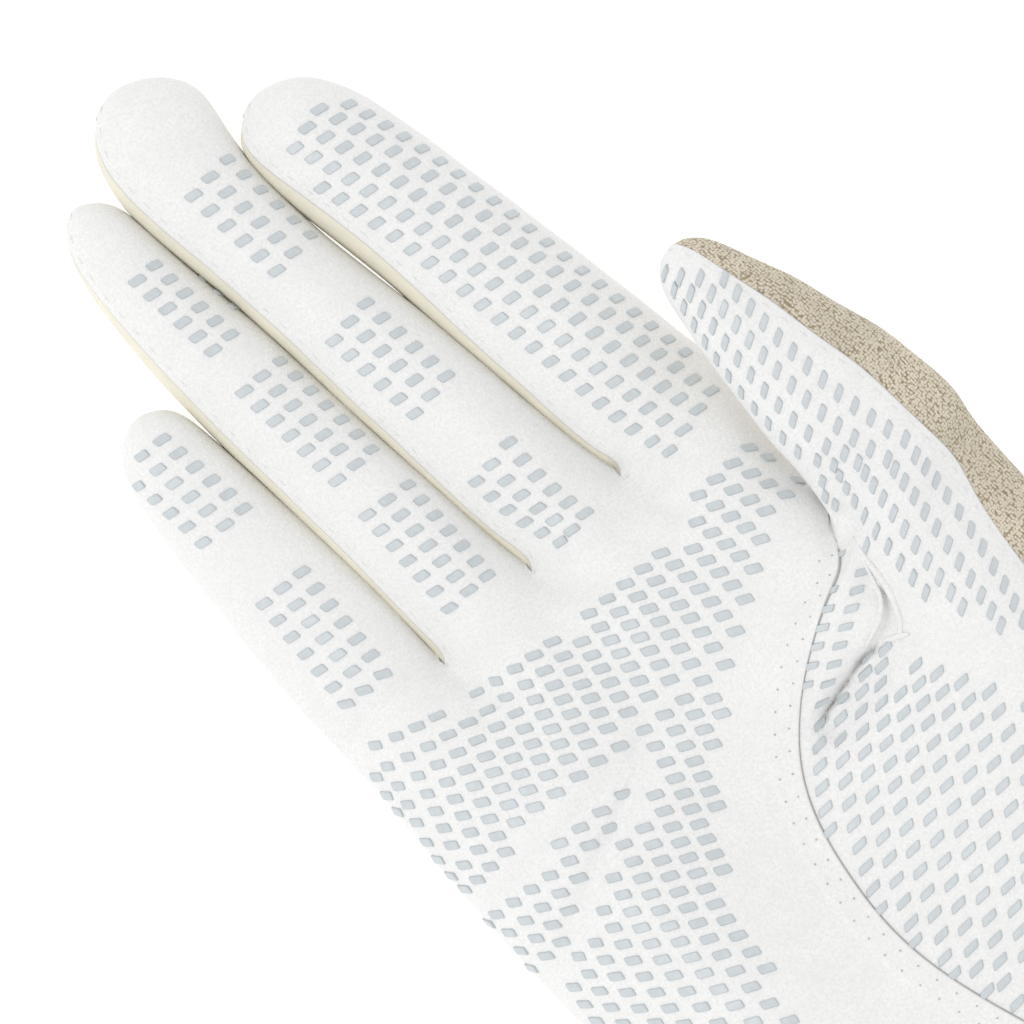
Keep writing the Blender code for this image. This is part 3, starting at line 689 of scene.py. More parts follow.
def press_details(points, normals):
    """Presses the small hollows and the laps in."""
    plan = points[:, :2] / MM
    depth = np.zeros(len(points))
    for crease in CREASES:
        away = run_distance(plan, crease.points) / crease.reach
        depth = np.maximum(depth, crease.depth * np.exp(-away * away))
    for lap in LAPS:
        run_x, run_y = zip(*sorted(lap.points))
        above = (plan[:, 1] - np.interp(plan[:, 0], run_x, run_y)) / lap.reach
        from_end = np.minimum(plan[:, 0] - run_x[0], run_x[-1] - plan[:, 0]) / lap.reach
        share = np.clip(from_end, 0.0, 1.0) * np.clip(above / LAP_EDGE, 0.0, 1.0)
        depth = np.maximum(depth, lap.depth * share * np.exp(-above * above))
    points[:, 2] -= np.maximum(0.0, normals[:, 2]) * depth * MM
    return depth


def press_folds(points, normals):
    """Presses the folds in and flattens what lies on the surface."""
    plan = points[:, :2]
    deepest = np.zeros(len(points))
    for fold in FOLDS:
        run = [(px * KNUCKLE_WIDTH, CROTCH_Y - py * PALM_LENGTH) for px, py in fold.points]
        away = run_distance(plan, run) / (fold.reach * KNUCKLE_WIDTH)
        deepest = np.maximum(deepest, fold.depth * PALM_DEPTH * np.exp(-away * away))
    points[:, 2] -= np.maximum(0.0, normals[:, 2]) * deepest
    hollow = press_details(points, normals)
    points[:, 2] = np.maximum(0.0, points[:, 2])
    return hollow


class Skin:
    """The smoothed skin of the whole glove, fine outside and a little coarser inside."""

    def __init__(self):
        cage = build_cage()
        mesh = new_mesh("skin_cage", cage.points, cage.faces)
        self.names = sorted(set(cage.pieces))
        for face, piece in zip(mesh.polygons, cage.pieces):
            face.material_index = self.names.index(piece)
        for name in self.names:
            mesh.materials.append(bpy.data.materials.new(f"mark_{name}"))
        holder = bpy.data.objects.new("skin_cage", mesh)
        bpy.context.scene.collection.objects.link(holder)
        smooth = holder.modifiers.new("smooth", "SUBSURF")
        smooth.levels = smooth.render_levels = 1
        for _ in range(FIT_ROUNDS):
            skin = evaluated_mesh(holder)
            for vertex, target, moved in zip(mesh.vertices, cage.points, skin.vertices):
                vertex.co += target - moved.co
            bpy.data.meshes.remove(skin)
            mesh.update()
        grids = []
        for level in (SKIN_LEVEL, SKIN_LEVEL - 1):
            smooth.levels = smooth.render_levels = level
            skin = evaluated_mesh(holder)
            grids.append(SkinGrid(skin))
            bpy.data.meshes.remove(skin)
        bpy.data.objects.remove(holder)
        bpy.data.meshes.remove(mesh)
        for name in self.names:
            bpy.data.materials.remove(bpy.data.materials[f"mark_{name}"])
        self.fine, self.coarse = grids
        tree = KDTree(len(self.fine.points))
        for number, point in enumerate(self.fine.points):
            tree.insert(point, number)
        tree.balance()
        self.match = np.array([tree.find(point)[1] for point in self.coarse.points])
        self.hollow = press_folds(self.fine.points, self.fine.normals())
        self.normals = self.fine.normals()
        self.wave()

    def wave(self):
        """Makes the skin slightly uneven, but not where the glove rests."""
        for number, (point, normal) in enumerate(zip(self.fine.points, self.normals)):
            swell = noise.noise(Vector(point) / WAVE_LENGTH) * min(1.0, point[2] / WAVE_START)
            self.fine.points[number] += normal * (WAVE_HEIGHT * swell)

    def mark(self, name):
        return self.names.index(name)


SKIN = []


def glove_skin():
    if not SKIN:
        SKIN.append(Skin())
    return SKIN[0]


def border_distance(points, border, most):
    """Distance of each point from the nearest point of a border, up to a limit."""
    tree = KDTree(len(border))
    for number, point in enumerate(border):
        tree.insert(point, number)
    tree.balance()
    return np.array([min(most, tree.find(point)[2]) for point in points])


# How far from a cut edge its distance is still kept, and what counts as on it
EDGE_REACH = 0.008
ON_RIM = 1e-7
# Beyond this place along Y the cut edge between palm and thumb is turned under, and gets no painted shade
SEAM_END = 0.0132


def piece_mesh(name):
    """One cut piece as a closed wall, with its distance from the cut edge on each point."""
    skin = glove_skin()
    fine, coarse, mark = skin.fine, skin.coarse, skin.mark(name)
    faces = fine.faces[fine.marks == mark]
    used = np.unique(faces)
    place = np.full(len(fine.points), -1)
    place[used] = np.arange(len(used))
    starts, ends, beyond = fine.rim(mark)
    following = dict(zip(starts.tolist(), ends.tolist()))
    edge = border_distance(fine.points[used], fine.points[np.unique(starts)], EDGE_REACH)
    outer = fine.points[used] + skin.normals[used] * PIECE_LIFT.get(name, 0.0)
    if name == "palm_panel":
        seam = np.unique(starts[beyond == skin.mark("thumb_panel")])
        away = border_distance(fine.points[used], fine.points[seam], EDGE_REACH)
        band = np.clip((BAND_WIDTH - away) / BAND_SLOPE, 0.0, 1.0)
        outer += skin.normals[used] * (BAND_LIFT * band * band * (3 - 2 * band))[:, None]
    at_rim = edge < ON_RIM
    if name in WHITE_PIECES:
        # Along the seam between the two white pieces, beyond SEAM_END, the painted shade of the cut edge is
        # left off
        joined = (beyond >= 0) & np.isin(beyond, [skin.mark(other) for other in WHITE_PIECES])
        plain = joined & (fine.points[starts][:, 1] > SEAM_END)
        edge = border_distance(fine.points[used], fine.points[np.unique(starts[~plain])], EDGE_REACH)
    outer[at_rim] -= skin.normals[used][at_rim] * EDGE_ROUND
    outer[:, 2] = np.maximum(0.0, outer[:, 2])

    inner_faces = coarse.faces[coarse.marks == mark]
    inner_used = np.unique(inner_faces)
    inner_place = np.full(len(coarse.points), -1)
    inner_place[inner_used] = np.arange(len(inner_used)) + len(used)
    source = skin.match[inner_used]
    inner = fine.points[source] - skin.normals[source] * WALL
    rim_starts, rim_ends, _ = coarse.rim(mark)
    all_faces = place[faces].tolist()
    all_faces += inner_place[inner_faces][:, ::-1].tolist()
    for a, b in zip(rim_starts.tolist(), rim_ends.tolist()):
        first, last = int(skin.match[a]), int(skin.match[b])
        halfway = following[first]
        wall = (last, halfway, first)
        all_faces.append([int(place[k]) for k in wall] + [int(inner_place[a]), int(inner_place[b])])
    mesh = new_mesh(name, outer.tolist() + inner.tolist(), all_faces)
    inside = np.zeros(len(inner_used))
    # Distance from the cut edge, which the suede reads for its painted shade along the edge
    add_values(mesh, "edge", np.concatenate([edge / MM, inside]))
    # Depth of the pressed hollows, which the suede reads for its painted fold shade
    add_values(mesh, "hollow", np.concatenate([skin.hollow[used], inside]))
    mesh.shade_smooth()
    mesh.set_sharp_from_angle(angle=SHARP_ANGLE)
    return mesh


def link_piece(name, mesh, material, nodes):
    """Links a finished piece, gives it its finish and hides the nodes of the solid model that it stands
    for.
    """
    mesh.materials.clear()
    mesh.materials.append(material)
    piece = bpy.data.objects.new(name, mesh)
    bpy.context.scene.collection.objects.link(piece)
    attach(piece, "root")
    if nodes:
        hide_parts(*nodes)
    return piece


# Materials


class NodeTree:
    """Short ways to add and join the nodes of a tree."""

    def node(self, kind, **settings):
        added = self.tree.nodes.new(kind)
        for key, value in settings.items():
            setattr(added, key, value)
        return added

    def join(self, source, target):
        self.tree.links.new(source, target)


class Finish(NodeTree):
    """A new material, with its patterns read from the place on the glove."""

    def __init__(self, name, roughness, specular=0.5):
        self.material = bpy.data.materials.new(name)
        self.material.use_nodes = True
        self.tree = self.material.node_tree
        self.shader = self.tree.nodes["Principled BSDF"]
        self.set("Roughness", roughness)
        self.set("Specular IOR Level", specular)
        self.where = self.node("ShaderNodeTexCoord").outputs["Object"]

    def set(self, name, value):
        self.shader.inputs[name].default_value = value

    def noise(self, scale, detail=2.0):
        added = self.node("ShaderNodeTexNoise")
        added.inputs["Scale"].default_value = scale
        added.inputs["Detail"].default_value = detail
        self.join(self.where, added.inputs["Vector"])
        return added.outputs["Fac"]

    def pebbles(self, scale, randomness):
        """How far each point is from the middle of its pebble."""
        added = self.node("ShaderNodeTexVoronoi")
        added.inputs["Scale"].default_value = scale
        added.inputs["Randomness"].default_value = randomness
        self.join(self.where, added.inputs["Vector"])
        return added.outputs["Distance"]

    def span(self, source, low, high, out_low=0.0, out_high=1.0):
        added = self.node("ShaderNodeMapRange")
        added.inputs["From Min"].default_value = low
        added.inputs["From Max"].default_value = high
        added.inputs["To Min"].default_value = out_low
        added.inputs["To Max"].default_value = out_high
        self.join(source, added.inputs["Value"])
        return added.outputs["Result"]

    def attribute(self, name):
        return self.node("ShaderNodeAttribute", attribute_name=name).outputs["Fac"]

    def mix(self, factor, first, second):
        added = self.node("ShaderNodeMix", data_type="RGBA")
        self.join(factor, added.inputs["Factor"])
        for colour, socket in ((first, added.inputs["A"]), (second, added.inputs["B"])):
            if isinstance(colour, bpy.types.NodeSocket):
                self.join(colour, socket)
            else:
                socket.default_value = (*colour[:3], 1.0)
        return added.outputs["Result"]

    def relief(self, height, strength, distance, below=None):
        added = self.node("ShaderNodeBump")
        added.inputs["Strength"].default_value = strength
        added.inputs["Distance"].default_value = distance
        self.join(height, added.inputs["Height"])
        if below is not None:
            self.join(below, added.inputs["Normal"])
        return added.outputs["Normal"]

    def colour(self, source):
        self.join(source, self.shader.inputs["Base Color"])

    def surface(self, normal):
        self.join(normal, self.shader.inputs["Normal"])


def shade(colour, factor):
    return tuple(channel * factor for channel in colour[:3])


# Shades of the suede: its patches and its nap, and the painted shade at the bottom of a fold and along the
# cut edge
PATCH_SHADE = 0.965
NAP_SHADE = 0.90
FOLD_PAINTED_SHADE = 0.40
CUT_EDGE_PAINTED_SHADE = 0.60


def suede_finish(colour):
    """White suede: a fine nap, soft painted shade in the folds and painted shade darkening the cut edge."""
    finish = Finish("white_suede", roughness=0.86, specular=0.25)
    finish.set("Sheen Weight", 0.15)
    finish.set("Sheen Roughness", 0.6)
    patches = finish.span(finish.noise(scale=240.0, detail=3.0), low=0.35, high=0.65)
    base = finish.mix(patches, shade(colour, PATCH_SHADE), colour)
    nap = finish.span(finish.noise(scale=2300.0, detail=3.0), low=0.32, high=0.62)
    base = finish.mix(nap, shade(colour, NAP_SHADE), base)
    # Painted shade: the deeper the pressed hollow, the darker the suede
    deep = finish.span(finish.attribute("hollow"), low=1.0, high=2.5, out_high=0.75)
    base = finish.mix(deep, base, shade(colour, FOLD_PAINTED_SHADE))
    # Painted shade: a thin dark line along the cut edge, where the panel steps down
    cut = finish.span(finish.attribute("edge"), low=0.02, high=0.28)
    finish.colour(finish.mix(cut, shade(colour, CUT_EDGE_PAINTED_SHADE), base))
    fine = finish.relief(finish.noise(scale=3000.0, detail=4.0), strength=0.50, distance=0.00016)
    coarse = finish.noise(scale=900.0, detail=3.0)
    finish.surface(finish.relief(coarse, strength=0.45, distance=0.00030, below=fine))
    return finish.material


# Shade of the leather's darker patches, and the colour between its pebbles
LEATHER_SHADE = 0.86
LEATHER_GAP = (0.31, 0.25, 0.155)


def leather_finish(colour):
    """Pale pebbled leather with dark gaps between its pebbles."""
    finish = Finish("cream_leather", roughness=0.55, specular=0.35)
    patches = finish.span(finish.noise(scale=110.0, detail=3.0), low=0.38, high=0.62)
    base = finish.mix(patches, shade(colour, LEATHER_SHADE), colour)
    pebble = finish.pebbles(scale=2150.0, randomness=0.65)
    gaps = finish.span(pebble, low=0.44, high=0.74)
    finish.colour(finish.mix(gaps, base, LEATHER_GAP))
    domes = finish.span(pebble, low=0.20, high=0.75, out_low=1.0, out_high=0.0)
    grain = finish.relief(domes, strength=0.80, distance=0.00016)
    waves = finish.noise(scale=420.0, detail=3.0)
    finish.surface(finish.relief(waves, strength=0.35, distance=0.00040, below=grain))
    return finish.material


# Plain finishes: a cloud of a slightly darker tint, and the relief from fine to coarse, each with
# its noise scale and detail
Coat = namedtuple("Coat", "name roughness specular scale detail low high tint relief")
Relief = namedtuple("Relief", "scale detail strength distance")
COATS = {
    "strip": Coat("finger_strip", 0.60, 0.30, 260.0, 3.0, 0.35, 0.65, 0.95, (
        Relief(1800.0, 3.0, 0.35, 0.00012), Relief(500.0, 2.0, 0.25, 0.00030),
    )),
    "silicone": Coat("grip_silicone", 0.34, 0.45, 900.0, 2.0, 0.35, 0.65, 0.93, (
        Relief(1500.0, 2.0, 0.20, 0.00010),
    )),
    "thread": Coat("sewing_thread", 0.70, 0.50, 4200.0, 2.0, 0.35, 0.65, 0.85, (
        Relief(5200.0, 2.0, 0.40, 0.00006),
    )),
    # Needle holes are small dark bars: their colour is painted shade inside each hole
    "hole": Coat("needle_hole", 0.90, 0.10, 900.0, 2.0, 0.35, 0.65, 0.80, ()),
    "tab": Coat("tab_rubber", 0.48, 0.50, 500.0, 2.0, 0.30, 0.70, 0.96, (
        Relief(2400.0, 2.0, 0.20, 0.00006),
    )),
}
# Painted shade on the rim round the top of a pad, darker than its top
PAD_RIM_PAINTED_SHADE = 0.80


def plain_finish(kind, colour):
    coat = COATS[kind]
    finish = Finish(coat.name, coat.roughness, coat.specular)
    cloud = finish.span(finish.noise(coat.scale, coat.detail), coat.low, coat.high)
    base = finish.mix(cloud, shade(colour, coat.tint), colour)
    if kind == "silicone":
        # A pad's rim is darkened as painted shade
        base = finish.mix(finish.attribute("inside"), shade(colour, PAD_RIM_PAINTED_SHADE), base)
    finish.colour(base)
    normal = None
    for layer in coat.relief:
        height = finish.noise(layer.scale, layer.detail)
        normal = finish.relief(height, layer.strength, layer.distance, normal)
    if normal is not None:
        finish.surface(normal)
    return finish.material


def floor_finish(colour, glow):
    finish = Finish("studio_floor", roughness=0.9, specular=0.05)
    finish.set("Base Color", (*colour[:3], 1.0))
    finish.set("Emission Color", (1.0, 1.0, 1.0, 1.0))
    finish.set("Emission Strength", glow)
    return finish.material


FINISHES = {}


def finish_of(kind):
    """Each finish is made once, from the colours in the sidebar."""
    if kind not in FINISHES:
        colour = tuple(getattr(bpy.context.scene.glove_colours, kind))
        if kind == "suede":
            FINISHES[kind] = suede_finish(colour)
        elif kind == "leather":
            FINISHES[kind] = leather_finish(colour)
        else:
            FINISHES[kind] = plain_finish(kind, colour)
    return FINISHES[kind]


# Grip pads


# A kind of pad: its panel, how far it is turned from across the hand, and its length and width
PadKind = namedtuple("PadKind", "panel turn length width")
FINGER_PAD = PadKind("palm_panel", -13.0, 0.00235, 0.00128)
PALM_PAD = PadKind("palm_panel", -30.0, 0.00240, 0.00130)
THUMB_PAD = PadKind("thumb_panel", 23.0, 0.00225, 0.00098)
GUSSET_PAD = PadKind("thumb_panel", -32.0, 0.00210, 0.00100)
THENAR_PAD = PadKind("thumb_panel", -3.0, 0.00255, 0.00107)

# A field of pads in columns. The place of a pad, in millimetres, follows from its column and its
# number by a smooth rule, whose shares are given for both in tens. Each column has a first and a
# last pad.
PadField = namedtuple("PadField", "kind x y columns")
PAD_FIELDS = (
    PadField(FINGER_PAD, (18.54, -30.02, 2.22, 31.19, -3.66, -1.34, 69.27, -5.39, 0.12, 1.05),
             (76.44, -8.11, -31.87, -2.01, 1.70, -0.20, 4.86, 3.11, 0.94, 1.03),
             ((-4, -9, 10), (-3, -10, 11), (-2, -10, 11), (-1, -10, 11), (0, -8, 10))),
    PadField(FINGER_PAD, (5.60, -35.30, 0.44),
             (110.73, -0.90, -31.80),
             ((-1, -1, 4), (0, -1, 4), (1, -1, 4))),
    PadField(FINGER_PAD, (4.09, -34.48, 0.43),
             (82.25, -1.78, -30.98),
             ((-1, -1, 4), (0, -1, 4), (1, -1, 4))),
    PadField(FINGER_PAD, (2.72, -33.61, -1.37, 31.83, 17.90, 10.90),
             (53.65, -1.89, -30.47, 15.77, 1.79, 3.35),
             ((-1, -1, 4), (0, -1, 4), (1, -1, 4))),
    PadField(FINGER_PAD, (-12.29, -32.48, 0.16),
             (105.64, 1.98, -29.22),
             ((-2, -2, 2), (-1, -2, 3), (0, -2, 3))),
    PadField(FINGER_PAD, (-10.25, -32.88, -0.30),
             (80.19, 3.28, -30.37),
             ((-1, -3, 2), (0, -3, 2), (1, -3, 2))),
    PadField(FINGER_PAD, (-11.39, -35.12, -2.76),
             (58.36, 6.40, -28.92),
             ((-1, -2, 3), (0, -2, 3), (1, -2, 3))),
    PadField(FINGER_PAD, (-29.86, -36.74, 1.69),
             (88.03, 5.35, -30.36),
             ((-1, -2, 2), (0, -2, 2), (1, -2, 2))),
    PadField(FINGER_PAD, (-31.05, -34.77, -3.96),
             (60.40, 4.25, -30.70),
             ((-1, -2, 3), (0, -2, 3), (1, -2, 3))),
    PadField(PALM_PAD, (-0.02, -33.58, -2.30, 1.16, -8.38, -3.34, -0.04, 1.90, 2.76, -1.17),
             (29.32, 4.32, -23.62, 1.34, 0.41, 6.06, 1.02, -5.81, 7.04, -11.25),
             ((-9, -2, -1), (-8, -2, 1), (-7, -2, 1), (-6, -2, 2), (-5, -1, 3), (-4, 0, 4), (-3, -1, 5),
              (-2, -1, 6), (-1, -1, 6), (0, -1, 5), (1, -1, 5), (2, 0, 5), (3, -1, 5), (4, -1, 5),
              (5, -1, 4), (6, -1, 5), (7, -1, 5), (8, 0, 5), (9, -1, 6), (10, -1, 6), (11, -1, 5),
              (12, -1, 3))),
    PadField(PALM_PAD, (-27.33, -36.11, -6.47, 1.74, 1.47, 4.15, 7.92, -4.39, 3.71, 3.07),
             (-5.69, 1.24, -24.90, 1.04, -5.75, -3.60, -2.52, -1.28, 2.98, -5.49),
             ((-6, -8, -7), (-5, -9, -6), (-4, -9, -3), (-3, -9, 0), (-2, -6, 5), (-1, -5, 7),
              (0, -5, 6), (1, -4, 5), (2, -3, 4), (3, -2, 2), (4, -2, 2), (5, -1, 1))),
    PadField(PALM_PAD, (-25.99, -36.60, -8.30, 6.18, 5.82, -4.26),
             (12.62, 6.12, -26.09, 0.19, -12.19, 5.24),
             ((-2, 0, 0), (-1, 0, 1), (0, 0, 1), (1, 0, 2), (2, 1, 3), (3, 1, 4), (4, 1, 4), (5, 1, 4))),
    PadField(THUMB_PAD, (42.86, -31.30, -1.74, -2.24, -13.21, 2.65, 41.84, 8.17, 6.93, 1.47),
             (42.40, 1.18, -27.88, -35.45, -1.88, -2.03, 48.18, 0.86, 2.73, 1.86),
             ((0, -3, 9), (1, -4, 9), (2, -5, 5), (3, -6, 5), (4, 5, 5))),
    PadField(THUMB_PAD, (39.12, -38.13, -5.86, 3.23, -1.03, -3.13, 62.78, 26.90, 28.11, 3.42),
             (8.12, 6.77, -26.03, -16.32, 1.92, -5.76, -41.53, -27.94, 13.02, 7.99),
             ((-1, -3, 8), (0, -3, 7), (1, -5, 5), (2, -6, 3))),
    PadField(GUSSET_PAD, (22.53, 22.70, -23.50, 2.27, -0.22, -1.70),
             (9.73, -23.19, -12.17, -2.32, 5.57, -1.47),
             ((0, -2, 6), (1, -1, 6))),
    PadField(THENAR_PAD, (2.24, 32.61, -15.54, 4.19, -1.90, 0.94, -4.24, 3.98, -10.72, -0.87),
             (-26.11, -14.25, -27.50, 2.51, -3.02, 0.26, -9.18, -8.09, 2.89, 4.23),
             ((-4, -5, -4), (-3, -8, -1), (-2, -9, 1), (-1, -11, 2), (0, -11, 3), (1, -8, 5), (2, -9, 6),
              (3, -8, 5), (4, -7, 1), (5, -6, -2))),
    PadField(PALM_PAD, (-27.72, -33.92, -2.74),
             (-5.46, 0.74, -28.58),
             ((-1, 8, 14), (0, 7, 14), (1, 6, 14), (2, 5, 14), (3, 3, 14), (4, 3, 13), (5, 2, 12),
              (6, 0, 11), (7, 0, 10), (8, 1, 8))),
    PadField(THENAR_PAD, (2.28, 32.35, -15.48),
             (-26.17, -13.25, -27.47),
             ((1, 6, 7), (2, 7, 9), (3, 6, 10), (4, 2, 10), (5, -1, 11), (6, -5, 11), (7, -4, 11),
              (8, -3, 11), (9, -2, 9))),
)

# Pads that stand outside the fields, by their place in millimetres
LONE_PADS = (
    (THUMB_PAD, (
        (36.4, 24.3), (37.4, 21.8), (34.2, 23.8), (32.7, 21.2), (31.5, 19.4), (31.6, 17.6),
        (30.3, 10.6),
    )),
    (THENAR_PAD, (
        (-5.5, -32.2), (-4.3, -36.6), (-5.2, -39.1),
    )),
    (FINGER_PAD, (
        (32.0, 41.0), (28.7, 40.6), (25.1, 40.1), (21.0, 42.2), (-7.2, 70.8), (21.6, 39.5),
        (-10.2, 70.9), (-13.7, 71.3), (-25.9, 78.4), (-29.3, 78.7), (-33.3, 79.3), (-9.1, 46.4),
        (-12.4, 46.9), (-16.1, 47.2),
    )),
    (PALM_PAD, (
        (30.9, 23.4), (-29.5, 47.7), (-33.0, 48.1), (-36.2, 48.6), (-13.8, 16.4), (-20.1, 20.6),
        (-17.4, 17.3), (-20.8, 17.8), (-41.0, 38.3), (-24.7, 18.5), (-41.9, 35.4), (-28.2, 19.3),
        (-42.5, 32.7), (-31.6, 19.8), (-42.7, 26.8), (-35.7, 17.9), (-43.4, 23.9), (-41.3, 20.8),
        (-38.8, 18.0), (-43.8, 21.0), (-41.5, 18.0), (-43.8, 18.3), (-45.1, 12.4),
    )),
)


# A height well above the glove, to look down from
RAY_START = 1.0


class PanelSurface:
    """The outer side of a white panel, to walk over and to lay things on."""

    def __init__(self, name):
        skin = glove_skin()
        fine, mark = skin.fine, skin.mark(name)
        faces = fine.faces[fine.marks == mark]
        points = fine.points + skin.normals * PIECE_LIFT[name]
        self.tree = BVHTree.FromPolygons(points.tolist(), faces.tolist())
        starts, _, _ = fine.rim(mark)
        self.rim = KDTree(len(starts))
        for number, index in enumerate(starts.tolist()):
            self.rim.insert(points[index], number)
        self.rim.balance()

    def top(self, x, y):
        place, normal, _, _ = self.tree.ray_cast(Vector((x, y, RAY_START)), Vector((0, 0, -1)))
        return place, normal

    def from_rim(self, place):
        return self.rim.find(place)[2]


def smooth_rule(shares, column, number):
    """Value of a field's rule at a pad: shares of all powers of both numbers up to the third."""
    i, j = column / 10, number / 10
    powers = [i ** (total - k) * j ** k for total in range(4) for k in range(total + 1)]
    return sum(share * power for share, power in zip(shares, powers))


# How far from the border of its panel the middle of a pad has to be
PAD_CLEARANCE = {"palm_panel": 0.0008, "thumb_panel": 0.0002}


def pad_points(panel):
    """A mesh of single points with the directions that each pad of a panel is laid along."""
    surface = PanelSurface(panel)
    places, normals, alongs, spans = [], [], [], []

    def lay(place, normal, kind):
        east = Vector((0, 1, 0)).cross(normal).normalized()
        places.append(place)
        normals.append(normal)
        alongs.append(Matrix.Rotation(math.radians(kind.turn), 3, normal) @ east)
        spans.append((kind.length, kind.width, 0.0))

    for field in PAD_FIELDS:
        if field.kind.panel != panel:
            continue
        for column, first, last in field.columns:
            for number in range(first, last + 1):
                x = smooth_rule(field.x, column, number) * MM
                y = smooth_rule(field.y, column, number) * MM
                place, normal = surface.top(x, y)
                if place is None or surface.from_rim(place) < PAD_CLEARANCE[panel]:
                    continue
                lay(place, normal, field.kind)
    for kind, lone in LONE_PADS:
        for x, y in lone if kind.panel == panel else ():
            place, normal = surface.top(x * MM, y * MM)
            if place is not None:
                lay(place, normal, kind)
    mesh = new_mesh("pad_points", places)
    add_vectors(mesh, "facing", normals)
    add_vectors(mesh, "along", alongs)
    add_vectors(mesh, "span", spans)
    return mesh


# How far a pad's far side is shifted along it, as a share of its length
PAD_LEANS = (("palm_panel", -0.16), ("thumb_panel", 0.26))
# How much of each side a pad's rounded corner takes
PAD_CORNER = 0.11
# The outlines of a pad from its foot to its top, and how far each is inside the rim
PadRing = namedtuple("PadRing", "scale height inside")
PAD_RINGS = (
    PadRing(1.00, -0.60, 0.0),
    PadRing(0.98, 0.60, 0.0),
    PadRing(0.86, 0.95, 0.8),
    PadRing(0.60, 1.00, 1.0),
)


def pad_shape(lean):
    """One pad one unit long, wide and high: a slanted block with a bevelled rim."""
    corners = ((0.5, 0.5), (-0.5, 0.5), (-0.5, -0.5), (0.5, -0.5))
    points = []
    for ring in PAD_RINGS:
        for number, (x, y) in enumerate(corners):
            for other_x, other_y in (corners[number - 1], corners[(number + 1) % 4]):
                px = x + (other_x - x) * PAD_CORNER
                py = y + (other_y - y) * PAD_CORNER
                points.append(((px + py * lean) * ring.scale, py * ring.scale, ring.height))
    sides = 2 * len(corners)
    faces = ring_faces(len(PAD_RINGS), sides)
    faces.append(tuple(range(len(points) - sides, len(points))))
    faces.append(tuple(range(sides))[::-1])
    mesh = new_mesh("pad_shape", points, faces)
    add_values(mesh, "inside", np.repeat([ring.inside for ring in PAD_RINGS], sides))
    return mesh


class Growth(NodeTree):
    """A geometry node tree that lays copies of a shape over a mesh."""

    def __init__(self, name, inputs):
        self.tree = bpy.data.node_groups.new(name, "GeometryNodeTree")
        face = self.tree.interface
        face.new_socket("Geometry", in_out="INPUT", socket_type="NodeSocketGeometry")
        face.new_socket("Geometry", in_out="OUTPUT", socket_type="NodeSocketGeometry")
        self.values = {}
        for socket_name, kind, value in inputs:
            socket = face.new_socket(socket_name, in_out="INPUT", socket_type=f"NodeSocket{kind}")
            self.values[socket.identifier] = value
        self.source = self.node("NodeGroupInput").outputs

    def named(self, name):
        added = self.node("GeometryNodeInputNamedAttribute", data_type="FLOAT_VECTOR")
        added.inputs["Name"].default_value = name
        return added.outputs["Attribute"]

    def lay(self, points, primary, secondary, sizes):
        """Lays a copy on each point along two directions, and gives all their material."""
        turn = self.node(
            "FunctionNodeAxesToRotation", primary_axis=primary[0], secondary_axis=secondary[0]
        )
        self.join(primary[1], turn.inputs["Primary Axis"])
        self.join(secondary[1], turn.inputs["Secondary Axis"])
        scale = self.node("ShaderNodeCombineXYZ")
        for axis, size in zip("XYZ", sizes):
            self.join(size, scale.inputs[axis])
        model = self.node("GeometryNodeObjectInfo")
        self.join(self.source["Shape"], model.inputs["Object"])
        copies = self.node("GeometryNodeInstanceOnPoints")
        self.join(points, copies.inputs["Points"])
        self.join(model.outputs["Geometry"], copies.inputs["Instance"])
        self.join(turn.outputs["Rotation"], copies.inputs["Rotation"])
        self.join(scale.outputs["Vector"], copies.inputs["Scale"])
        real = self.node("GeometryNodeRealizeInstances")
        self.join(copies.outputs["Instances"], real.inputs["Geometry"])
        coat = self.node("GeometryNodeSetMaterial")
        self.join(real.outputs["Geometry"], coat.inputs["Geometry"])
        self.join(self.source["Material"], coat.inputs["Material"])
        self.join(coat.outputs["Geometry"], self.node("NodeGroupOutput").inputs["Geometry"])

    def grow(self, name, mesh):
        """Runs the tree on a mesh and gives the result as a plain mesh."""
        holder = bpy.data.objects.new(name, mesh)
        bpy.context.scene.collection.objects.link(holder)
        modifier = holder.modifiers.new("growth", "NODES")
        modifier.node_group = self.tree
        for identifier, value in self.values.items():
            modifier[identifier] = value
        result = evaluated_mesh(holder)
        bpy.data.objects.remove(holder)
        result.name = name
        return result


def pad_tree(shape, height, material):
    growth = Growth("grip_pads", (
        ("Shape", "Object", shape),
        ("Height", "Float", height),
        ("Material", "Material", material),
    ))
    points = growth.node("GeometryNodeMeshToPoints")
    growth.join(growth.source["Geometry"], points.inputs["Mesh"])
    parts = growth.node("ShaderNodeSeparateXYZ")
    growth.join(growth.named("span"), parts.inputs["Vector"])
    sizes = (parts.outputs["X"], parts.outputs["Y"], growth.source["Height"])
    facing, along = growth.named("facing"), growth.named("along")
    growth.lay(points.outputs["Points"], ("Z", facing), ("X", along), sizes)
    return growth


# Stitching


def rim_runs(name, neighbours):
    """Ordered runs of border points of a piece along chosen neighbours."""
    skin = glove_skin()
    starts, ends, beyond = skin.fine.rim(skin.mark(name))
    wanted = {skin.mark(other) for other in neighbours}
    chosen = {a: b for a, b, c in zip(starts.tolist(), ends.tolist(), beyond.tolist()) if c in wanted}
    heads = [a for a in chosen if a not in set(chosen.values())]
    runs = []
    left = dict(chosen)
    for head in heads or list(chosen)[:1]:
        run = [head]
        while run[-1] in left:
            run.append(left.pop(run[-1]))
        runs.append(run)
    return runs


# Stitches show only where the panel faces up at least this much
STITCH_FACING = 0.42
# How far the lines of stitches and the two rows of needle holes lie inside the border of a panel
PALM_STITCH_INSET = 0.0014
THUMB_STITCH_INSET = 0.0012
HOLE_INSETS = (0.0014, 0.0034)
